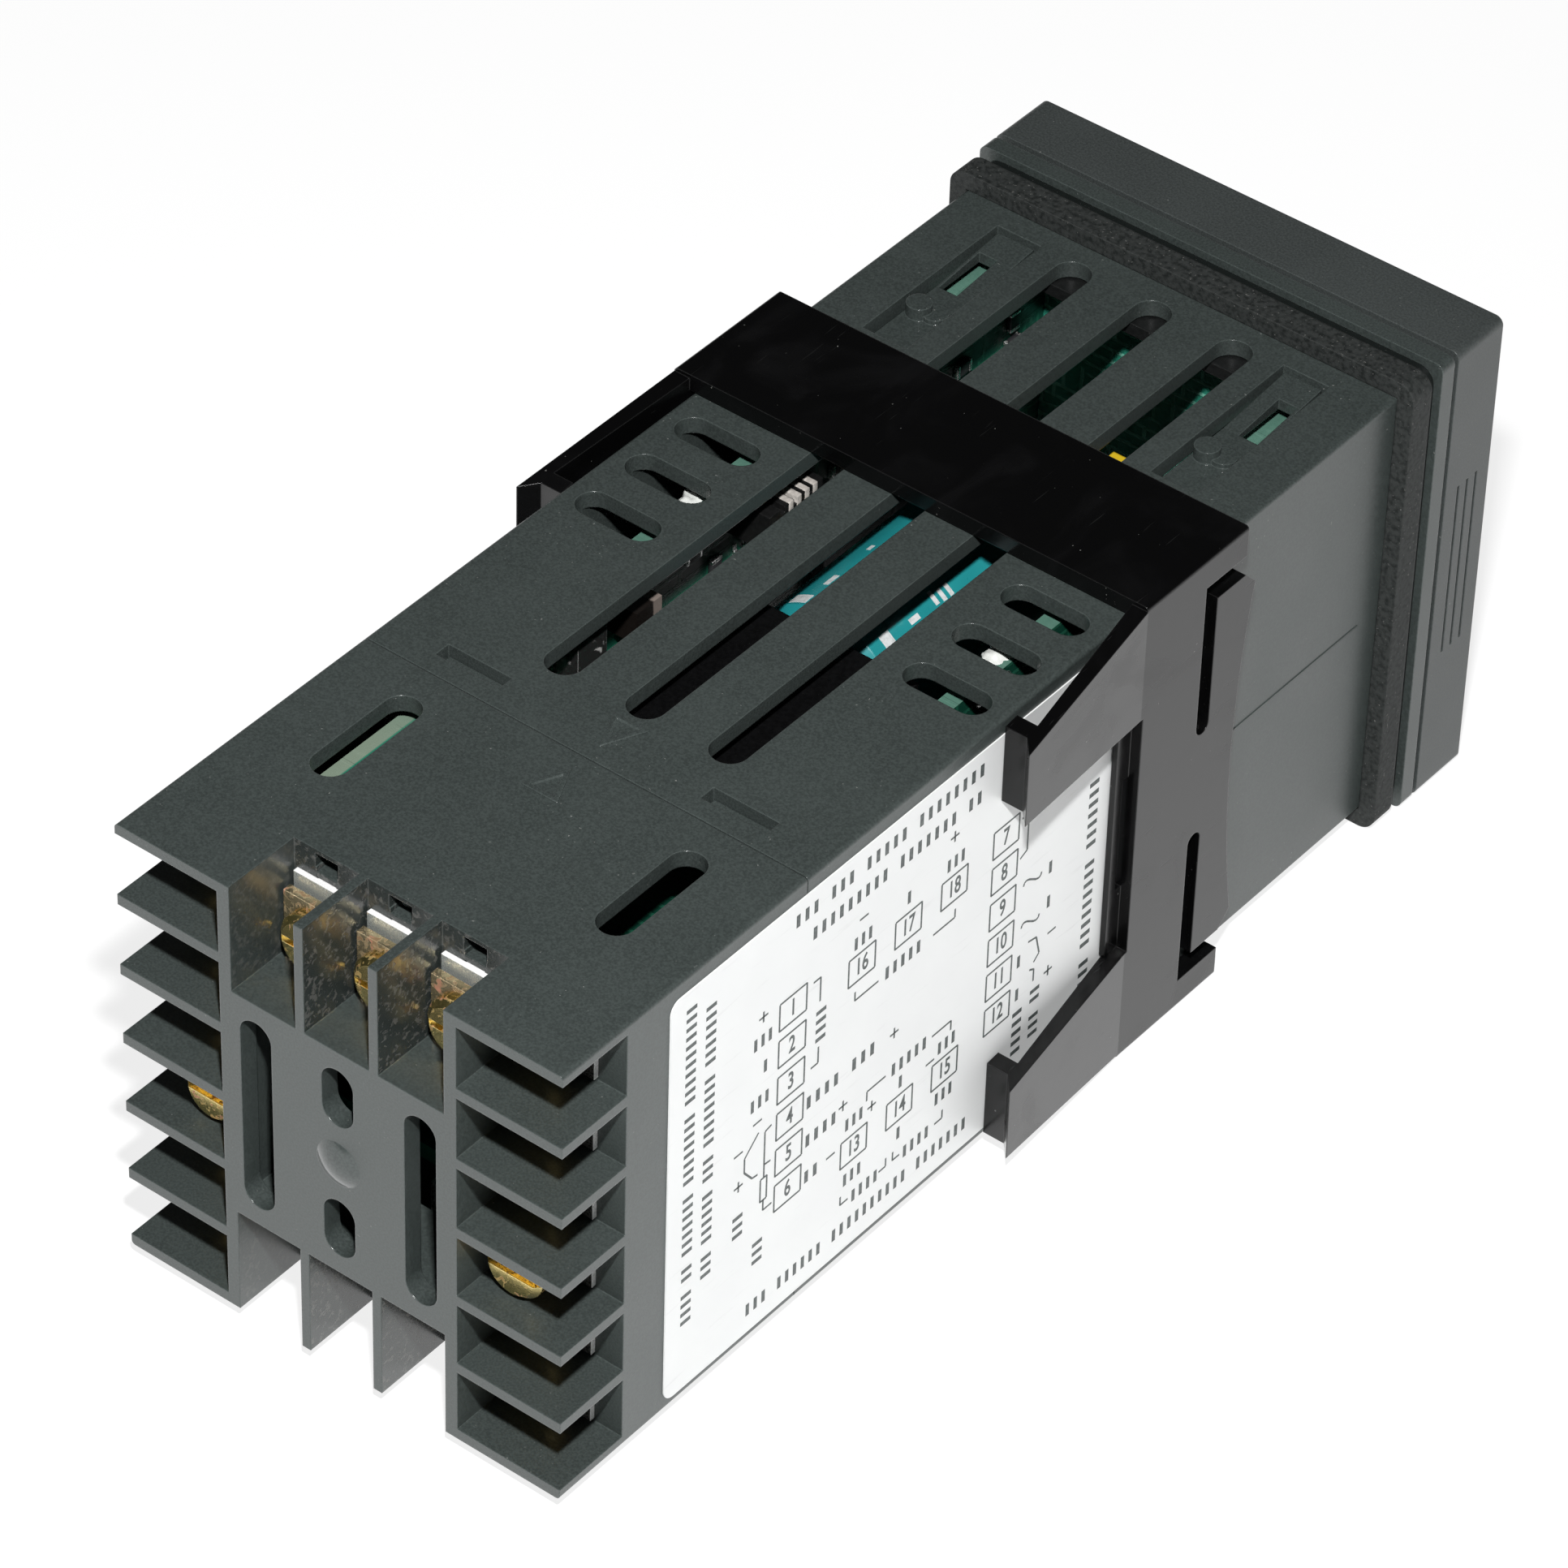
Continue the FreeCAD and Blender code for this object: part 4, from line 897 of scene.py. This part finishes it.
# %% Arrows on the sleeve and block
SLEEVE_TOP = 22.3
MARK_SIZE, MARK_HEIGHT, MARK_X = 2.6, 0.16, -0.4


def triangle(name, y, quarters):
    """A raised outline of a triangle on the top, turned by a number of quarters."""
    turn = (0, 0, QUARTER * quarters)
    piece = prism(name, 3, MARK_SIZE, 2 * MARK_HEIGHT, (MARK_X, y, SLEEVE_TOP), turn, 0.8)
    pull(piece, lambda middle, normal: normal.z > 0.9, 0.42, (0, 0, -0.8 * MARK_HEIGHT))
    return wear(soften(piece, 0.05), "case_plastic", "housing", "case_plastic")


marks = [triangle("sleeve_mark", 73.6, 0), triangle("block_mark", 82.2, 2)]
print("marks", len(marks))

# %% [markdown]
# The two halves of the sleeve's mould met along the middle of its sides and left a hair line there.
# A thin strip with a rounded back stands for it on each side, short of the label.

# %% Parting lines


def parting_line(name, side, ends):
    """The mould's line along the middle of one side of the sleeve."""
    face = side * SLEEVE_TOP
    strip = brick(name, (face - side * 0.1, face + side * 0.07), ends, (-0.09, 0.09))
    return wear(soften(strip, 0.04), "case_plastic", "housing", "case_plastic")


parting_line("parting_line_left", -1, (2.9, 33.6))
parting_line("parting_line_right", 1, (2.9, 77.6))
print("parting lines", 2)

# %% [markdown]
# ## Small parts on the boards
# Through the slots one sees bright points and dark shapes on the boards. They come from chip
# resistors with tinned ends, small packages with bent legs, solder joints where leads come through,
# and blobs of white glue that hold the tall parts. Each is modelled once and copied into place.

# %% Resistors, packages and joints
BOARD_IN, BOARD_OUT = 14.8, 16.4
PROCESSOR, POWER = 1, -1


def resistor_parts():
    """A chip resistor lying along Y on a face that looks along -X: its body and its two ends."""
    body = soften(brick("resistor_body", (-0.5, 0), (-0.75, 0.75), (-0.62, 0.62)), 0.05)
    ends = []
    for side in (-1, 1):
        y = (side * 0.62, side * 1.0)
        ends.append(soften(brick("resistor_end", (-0.54, 0), y, (-0.65, 0.65)), 0.08))
    return body, join("resistor_ends", ends)


def package_parts(length, width, height, legs, pitch):
    """A moulded package with bent legs on both long sides: its body and its legs."""
    along, wide = (-length / 2, length / 2), (-width / 2, width / 2)
    body = brick("package_body", (-height - 0.1, -0.1), along, wide)
    pull(body, lambda middle, normal: normal.x < -0.9, 0.15, (-0.05, 0, 0))
    soften(body, 0.12)
    tin = []
    for i in range(legs):
        y = (i - (legs - 1) / 2) * pitch
        for side in (-1, 1):
            edge = side * width / 2
            across = (y - 0.2, y + 0.2)
            root = (edge - side * 0.1, edge + side * 0.5)
            leg = brick("leg", (-height * 0.55, -height * 0.4), across, root)
            pull(leg, lambda middle, normal: normal.x > 0.9, 0, (height * 0.4, 0, 0))
            foot = brick("foot", (-0.16, 0), across, (edge + side * 0.4, edge + side * 1.05))
            tin += [leg, foot]
    return body, join("package_legs", tin)


def solder_joint():
    """A low cone of solder with a rounded foot and a wire end, on a face that looks along +X."""
    begin()
    bpy.ops.mesh.primitive_cone_add(
        vertices=14, radius1=0.85 * MM, radius2=0.3 * MM, depth=0.5 * MM,
        location=(0.25 * MM, 0, 0), rotation=(0, QUARTER, 0),
    )
    cone = settle("joint")
    pull(cone, lambda middle, normal: normal.x > 0.9, 0.06, (0.25, 0, 0))
    return soften(cone, 0.1)


def scatter(name, pattern_piece, side, level, places, finish, slot, turned=()):
    """Copies of a piece on a long board, at (y, z) places and this far from the middle.

    The piece is made for the processor board, and turned round for the power board.
    """
    pieces = []
    for index, (y, z) in enumerate(places):
        twin = copy(pattern_piece)
        if index in turned:
            twin.data.transform(Matrix.Rotation(QUARTER, 4, "X"))
        if side < 0:
            twin.data.transform(Matrix.Rotation(math.pi, 4, "Z"))
        twin.data.transform(Matrix.Translation(Vector((side * level, y, z)) * MM))
        pieces.append(twin)
    return wear(join(name, pieces), finish, "plug_in_unit", slot)


RESISTORS = [
    (3.0, 14.0), (3.0, 11.5), (6.5, 16.5), (6.5, 4.0), (10.0, 16.5), (10.0, 13.0), (10.0, -4.0),
    (13.5, 8.0), (16.0, 14.8), (20.0, 12.5), (23.5, 15.6), (27.0, 12.5), (30.5, 16.8), (30.5, 10.0),
    (33.0, -3.0), (36.0, 1.5), (40.0, 6.0), (43.2, 17.6), (43.2, 12.0), (46.2, 15.2), (46.2, 3.0),
    (50.6, 16.8), (58.9, 17.4), (67.4, 14.2), (68.4, 17.2), (72.0, 16.8), (75.0, 3.0), (78.0, -3.0),
    (82.0, 5.5), (86.0, -5.0), (44.0, -5.0), (44.0, -12.5),
]
JOINTS_PROCESSOR = [(35.5 + 1.75 * i, 15.0) for i in range(4)]
JOINTS_PROCESSOR += [(61.9, 12.6), (61.9, 17.4), (54.2, 14.4), (56.6, 14.4)]
JOINTS_PROCESSOR += [(74.8 + 2.3 * i, s * 12.3) for i in range(5) for s in (-1, 1)]
JOINTS_PROCESSOR += [(y + d, z) for y in (23.2, 30.2, 37.2) for d in (0, 2.5) for z in (-16.6, -9.0)]
JOINTS_POWER = [
    (16.5, 6.4), (16.5, 15.6), (21.3, 7.5), (21.3, 12.5), (29.5, -15.0), (35.5, -15.0), (29.5, -4.0),
    (35.5, -4.0), (45.0, 17.8), (48.0, 17.8), (60.0, 2.0), (66.0, 2.0), (72.0, -3.0), (80.0, 4.0),
]

body_piece, end_piece = resistor_parts()
TURNED = range(0, len(RESISTORS), 3)
SUNK_CHIP, SUNK_JOINT = 0.03, 0.02
level = BOARD_IN - SUNK_CHIP
scatter("chip_resistors", body_piece, PROCESSOR, level, RESISTORS, "chip_body", "link_plastic", TURNED)
scatter("resistor_caps", end_piece, PROCESSOR, level, RESISTORS, "solder_metal", "crystal_can", TURNED)
joint_piece = solder_joint()
print("small parts", len(RESISTORS), "faces of a joint", len(joint_piece.data.polygons))

# %% [markdown]
# Joints stand on the outer faces, where the tall parts' leads come through, so the copy is laid on
# the outer face and looks outwards. Packages with legs fill the wide middle of each board.

# %% Joints and packages on the long boards
out = BOARD_OUT - SUNK_JOINT
scatter("processor_joints", joint_piece, PROCESSOR, out, JOINTS_PROCESSOR, "solder_metal", "crystal_can")
scatter("power_joints", joint_piece, POWER, out, JOINTS_POWER, "solder_metal", "crystal_can")
small_body, small_legs = package_parts(5.0, 3.9, 1.4, 4, 1.27)
ON_PROCESSOR = [(11.0, 3.0), (38.5, 9.5), (57.5, 3.5), (66.0, -4.0), (86.5, 3.5)]
ON_POWER = [(9.0, 9.0), (58.0, -3.0), (70.0, 3.5), (84.0, -2.0)]
for word, side, places in (("processor", PROCESSOR, ON_PROCESSOR), ("power", POWER, ON_POWER)):
    scatter(f"{word}_packages", small_body, side, BOARD_IN, places, "chip_body", "link_plastic")
    scatter(f"{word}_package_legs", small_legs, side, BOARD_IN, places, "solder_metal", "crystal_can")
print("packages", len(ON_PROCESSOR) + len(ON_POWER))

# %% [markdown]
# The connector on the processor board has four pins, and through the first slot its pale ribs catch
# the light. The large capacitor carries a pale stripe with bars down its side and a grey end sunk a
# little inside a rim. The stripe hugs the round can, so it is cut from a slightly wider tube by
# deleting the faces outside its angles, and is then given a thickness.

# %% Connector pins and capacitor marks


def header_pins():
    """Gold pins in the ways of the connector, and the pale ribs that part the ways."""
    low, high = corners("pin_header")
    pitch, middle, x = (high.y - low.y) / 4, (low.z + high.z) / 2 - 0.3, low.x
    pins, ribs = [], []
    for i in range(4):
        y = low.y + pitch * (i + 0.5)
        pin = brick("pin", (x - 2.2, x + 0.4), (y - 0.3, y + 0.3), (middle - 0.3, middle + 0.3))
        pins.append(soften(pin, 0.12))
        y = low.y + 0.7 + 1.05 * i
        rib = brick("rib", (x - 0.06, x + 2.2), (y, y + 0.62), (high.z - 1.8, high.z + 0.08))
        ribs.append(soften(rib, 0.1))
    wear(join("header_pins", pins), "pin_gold", "plug_in_unit", "header_plastic")
    wear(join("header_ribs", ribs), "rib_plastic", "plug_in_unit", "header_plastic")


can_low, can_high = corners("reservoir_capacitor")
CAN_RADIUS = (can_high.z - can_low.z) / 2
CAN_X, CAN_Z = can_high.x - CAN_RADIUS, can_high.z - CAN_RADIUS
CAN_FRONT, CAN_REAR = can_high.y - 24.0, can_high.y
LIFT = 0.03  # how far the marks stand off the sleeve, and how thick they are


def can_band(name, from_angle, to_angle, ends, lift, finish):
    """A strip that hugs the can between two angles, given in degrees up from +X."""
    place = (CAN_X, sum(ends) / 2, CAN_Z)
    band = prism(name, 360, CAN_RADIUS + lift, ends[1] - ends[0], place, TO_REAR, cap="NOTHING")

    def outside(middle, normal):
        angle = math.degrees(math.atan2(middle.z - CAN_Z, middle.x - CAN_X)) % 360
        return not from_angle <= angle <= to_angle

    choose(band, outside)
    bpy.ops.mesh.delete(type="FACE")
    bpy.ops.object.mode_set(mode="OBJECT")
    modify(band, "SOLIDIFY", thickness=LIFT * MM, offset=-1)
    bpy.ops.object.shade_smooth_by_angle(angle=0.6)
    return wear(band, finish, "plug_in_unit", "capacitor_sleeve")


def can_end():
    """The grey end of the can, sunk a little in its middle, framed by the sleeve's shrunk rim."""
    disc = prism("capacitor_end", 48, 5.9, 0.18, (CAN_X, CAN_REAR - 0.01, CAN_Z), TO_REAR)
    pull(disc, lambda middle, normal: normal.y > 0.9, 0.5, (0, -0.06, 0))
    return wear(soften(disc, 0.03), "solder_metal", "plug_in_unit", "capacitor_sleeve")


header_pins()
can_end()
can_band("capacitor_stripe", 200, 228, (CAN_FRONT + 1.1, CAN_REAR - 0.9), LIFT, "pale_ink")
for index in range(5):
    start = CAN_FRONT + 3.0 + 4.2 * index
    can_band(f"stripe_bar_{index + 1}", 209, 219, (start, start + 1.9), 2 * LIFT, "capacitor_sleeve")
CAN_MARKS = [
    (64.5, 68.0, 37.0, 37.7), (66.0, 69.5, 42.0, 43.5), (56.0, 70.0, 45.3, 46.5),
    (120.5, 130.0, 38.2, 38.65), (122.0, 131.5, 37.3, 37.75), (122.0, 131.0, 36.4, 36.85),
    (126.0, 130.0, 40.7, 41.9), (123.0, 132.5, 44.2, 45.4),
]
for index, (low_angle, high_angle, front, rear) in enumerate(CAN_MARKS):
    can_band(f"capacitor_mark_{index + 1}", low_angle, high_angle, (front, rear), LIFT, "pale_ink")
print("capacitor marks done")

# %% [markdown]
# Two strips of circuit board join the long boards to the display board, and show through the windows
# of the spring fingers. In the block, a web closes each end bay's opening over the contact.

# %% Joiners and webs
joiners = [
    brick("joiner", (16.45, 18.0), (3.1, 8.8), (9.0, 19.1)),
    brick("joiner", (-14.75, -13.1), (3.7, 9.0), (9.0, 19.0)),
]
joiners = join("board_joiners", [soften(piece, 0.05) for piece in joiners])
wear(joiners, "side_board", "plug_in_unit", "circuit_board")
WEB_HALF, WEB_DEPTH, WEB_LOW, WEB_HIGH = 1.15, (98.03, 99.38), 19.5, 20.05
webs = []
for x in (-7.42, 0, 7.42):
    for side in (-1, 1):
        wide = (x - WEB_HALF, x + WEB_HALF)
        webs.append(brick("web", wide, WEB_DEPTH, (side * WEB_LOW, side * WEB_HIGH)))
wear(join("bay_webs", webs), "block_plastic", "housing", "case_plastic")
print("joiners and webs done")

# %% [markdown]
# White glue sits on the top edges of the long boards beside the tall parts. It is soft and lumpy, so
# it starts as a ball of triangles, squashed, and a Displace modifier pushes it into lumps.

# %% Glue


def glue(name, place, size, seed):
    """A lump of glue about this size at a place."""
    begin()
    bpy.ops.mesh.primitive_ico_sphere_add(subdivisions=4, radius=0.5 * MM)
    bpy.context.object.scale = size
    bpy.context.object.location = Vector(place) * MM
    lump = settle(name)
    clouds = bpy.data.textures.new(name, "CLOUDS")
    clouds.noise_scale = (0.9 + 0.1 * seed) * MM
    modify(lump, "DISPLACE", texture=clouds, texture_coords="LOCAL", strength=0.9 * MM, mid_level=0.5)
    bpy.ops.object.shade_smooth()
    return wear(lump, "white_glue", "plug_in_unit", "header_plastic")


glue("glue_processor", (16.0, 44.6, 19.0), (2.0, 3.4, 1.1), 0)
glue("glue_power", (-15.0, 44.2, 19.0), (2.4, 3.0, 1.1), 1)
glue("glue_transformer", (-10.6, 32.0, -1.2), (3.6, 6.0, 1.4), 2)
print("glue lumps", 3)

# %% [markdown]
# ## The front
# Behind the window are two rows of digits. Unlit segments look like pale bars in a dark face. One
# segment is a flat bar whose two ends are pinched nearly to points by an extrusion that is squeezed,
# and seven copies make a digit with a round point beside it.

# %% Digits
FACE_GAP = 0.05


def segment(length, width):
    """One segment lying along X, looking along -Y, with pointed ends."""
    half = length / 2 - width / 2
    piece = brick("segment", (-half, half), (-FACE_GAP, 0.03), (-width / 2, width / 2))
    for side in (-1, 1):
        choose(piece, lambda middle, normal: normal.x * side > 0.9)
        bpy.ops.mesh.extrude_region_move(TRANSFORM_OT_translate={"value": (side * width / 2 * MM, 0, 0)})
        bpy.ops.transform.resize(value=(1, 1, 0.08))
        bpy.ops.object.mode_set(mode="OBJECT")
    return piece


def digit(width, height):
    """A seven segment digit round the origin, leaning a little, with its point."""
    across, upright = width * 0.62, height / 2 - 0.15
    thick = width * 0.15
    level = segment(across, thick)
    tall = segment(upright, thick)
    tall.data.transform(Matrix.Rotation(QUARTER, 4, "Y"))
    pieces = [copy(level, (0, 0, height / 2 * s)) for s in (-1, 0, 1)]
    for x in (-1, 1):
        for z in (-1, 1):
            pieces.append(copy(tall, (x * (across + thick * 0.3) / 2, 0, z * height / 4)))
    x, z = width * 0.5, -height / 2
    dot = prism("point", 14, thick * 0.55, FACE_GAP + 0.03, (x, 0.015 - FACE_GAP / 2, z), TO_FRONT)
    shape = join("digit", pieces + [dot])
    bpy.data.objects.remove(level)
    bpy.data.objects.remove(tall)
    lean = Matrix.Identity(4)
    lean[0][2] = 0.12
    shape.data.transform(lean)
    return shape


def digit_row(name, node, count, width, height):
    """A row of digits on the face of a display."""
    low, high = corners(node)
    middle = (low + high) / 2
    one = digit(width, height)
    pitch = (high.x - low.x) / count
    row = [copy(one, (low.x + pitch * (i + 0.47), low.y, middle.z)) for i in range(count)]
    bpy.data.objects.remove(one)
    return wear(join(name, row), "digit_plastic", "plug_in_unit", "display_face")


upper = digit_row("upper_digits", "upper_display", 4, 6.4, 8.2)
lower = digit_row("lower_digits", "lower_display", 4, 5.2, 6.0)
print("digit faces", len(upper.data.polygons), len(lower.data.polygons))

# %% [markdown]
# Each key carries a sign that needs no language: a ring to step round the menus, a bar to enter, and
# two triangles to lower and raise. Plain numbers stand by the four lamps. All are pale print on the
# face they belong to.

# %% Key signs and lamp numbers
PRINT = 0.06  # how thick the print on a key is
LAMP_PITCH, NUMBERS_Z, NUMBER_HEIGHT = 8.0, 18.4, 1.6


def key_sign(index, node):
    """The sign on one key, as thin print on its cap."""
    low, high = corners(node)
    x, z = (low.x + high.x) / 2, (low.z + high.z) / 2
    y = low.y + PRINT / 3
    if index == 0:
        sign = prism("key_ring", 40, 1.35, PRINT, (x, y, z), TO_FRONT, cap="NOTHING")
        modify(sign, "SOLIDIFY", thickness=0.4 * MM, offset=-1)
    elif index == 1:
        thick = (y - PRINT / 2, y + PRINT / 2)
        sign = brick("key_bar", (x - 1.5, x + 1.5), thick, (z - 0.24, z + 0.24))
        soften(sign, 0.02)
    else:
        shift, turn = (-0.3, 0) if index == 3 else (0.3, math.pi)
        sign = prism("key_triangle", 3, 1.55, PRINT, (x, y, z + shift), (QUARTER, turn, 0))
        soften(sign, 0.02)
    sign.name = f"key_{index + 1}_sign"
    return wear(sign, "pale_ink", f"key_{index + 1}_body", "key_plastic")


for index in range(4):
    key_sign(index, f"key_{index + 1}")


def lamp_numbers():
    """The numbers 1 to 4 on the bezel over the lamps."""
    face = corners("front_bezel")[0].y
    pieces = []
    for index in range(4):
        place = ((index - 1.5) * LAMP_PITCH, face - INK / 2, NUMBERS_Z)
        pieces.append(number(str(index + 1), place, NUMBER_HEIGHT, TO_FRONT))
    return wear(join("lamp_numbers", pieces), "pale_ink", "plug_in_unit", "bezel_plastic")


lamp_numbers()
print("front signs done")

# %% [markdown]
# The pattern pieces have served their turn and are removed, so that nothing stays behind that is not
# part of the instrument.

# %% Clear the patterns
for leftover in (pattern, body_piece, end_piece, joint_piece, small_body, small_legs):
    bpy.data.objects.remove(leftover)
begin()

# %% [markdown]
# ## Floor and light
# The instrument stands on a white table in a dark room, and a flash over the lens lights it. The
# table shines on the sides and the rear of the case, the top reflects the dark room, and the flash
# throws short hard shadows under every fin. So one small lamp stands above the camera, the sky is
# grey near the horizon and dark above, and the floor is lifted to white with its shadow kept. In a
# shine the floor glows more towards the rear, where the flash falls nearest.

# %% Floor
FLOOR_LEVEL = cad_box[0].z - 0.00005


def floor_finish():
    """White paper that looks white to the eye and keeps a soft shadow."""
    finish = Finish("floor", Roughness=0.9)
    paper = finish.noise(400.0, 2.0)
    finish.set(Base_Color=finish.mix(paper, (0.86, 0.86, 0.86), (0.84, 0.84, 0.84)))
    glossy = finish.add("ShaderNodeLightPath", out="Is Glossy Ray")
    seen = glossy + finish.add("ShaderNodeLightPath", out="Is Camera Ray")
    seen = seen + finish.add("ShaderNodeLightPath", out="Is Transmission Ray")
    near = finish.window(finish.where("Y"), -60.0, 110.0)
    glow = {"Color": (1, 1, 1, 1), "Strength": glossy * (near * 0.6 + 0.25) + 1.15}
    glow = finish.add("ShaderNodeEmission", None, glow)
    blend = finish.tree.nodes.new("ShaderNodeMixShader")
    finish.feed(blend.inputs[0], seen * 0.72)
    finish.tree.links.new(finish.shader.outputs[0], blend.inputs[1])
    finish.feed(blend.inputs[2], glow)
    finish.tree.links.new(blend.outputs[0], finish.output.inputs[0])
    return finish.material


begin()
bpy.ops.mesh.primitive_plane_add(size=6, location=(0, 0.05, FLOOR_LEVEL))
floor = settle("floor")
floor.data.materials.append(floor_finish())
print("floor at", round(FLOOR_LEVEL / MM, 2))

# %% Sky and lamp
HORIZON, ZENITH = 0.5, 0.03


def sky():
    """A grey band round the horizon that fades to near black overhead."""
    world = bpy.data.worlds.new("studio")
    bpy.context.scene.world = world
    world.use_nodes = True
    tree = world.node_tree
    tree.nodes.clear()
    way = tree.nodes.new("ShaderNodeTexCoord")
    parts = tree.nodes.new("ShaderNodeSeparateXYZ")
    fade = tree.nodes.new("ShaderNodeMapRange")
    fade.interpolation_type = "SMOOTHSTEP"
    for name, value in (("From Min", 0.05), ("From Max", 0.4), ("To Min", HORIZON), ("To Max", ZENITH)):
        fade.inputs[name].default_value = value
    light = tree.nodes.new("ShaderNodeBackground")
    output = tree.nodes.new("ShaderNodeOutputWorld")
    tree.links.new(way.outputs["Generated"], parts.inputs[0])
    tree.links.new(parts.outputs["Z"], fade.inputs["Value"])
    tree.links.new(fade.outputs[0], light.inputs["Strength"])
    tree.links.new(light.outputs[0], output.inputs[0])


def lamp(name, azimuth, elevation, distance, size, power):
    """A square soft lamp that looks at the middle of the instrument."""
    a, e = math.radians(azimuth), math.radians(elevation)
    way = Vector((math.sin(a) * math.cos(e), -math.cos(a) * math.cos(e), math.sin(e)))
    target = Vector((0, 0.045, 0))
    bpy.ops.object.light_add(type="AREA", location=target + way * distance)
    light = bpy.context.object
    light.name = name
    light.rotation_euler = way.to_track_quat("Z", "Y").to_euler()
    light.data.size = size
    light.data.energy = power
    light.visible_camera = False


sky()
lamp("key_lamp", 217.35, 50.6, 0.5, 0.02, 3.4)
print("sky", HORIZON, ZENITH)
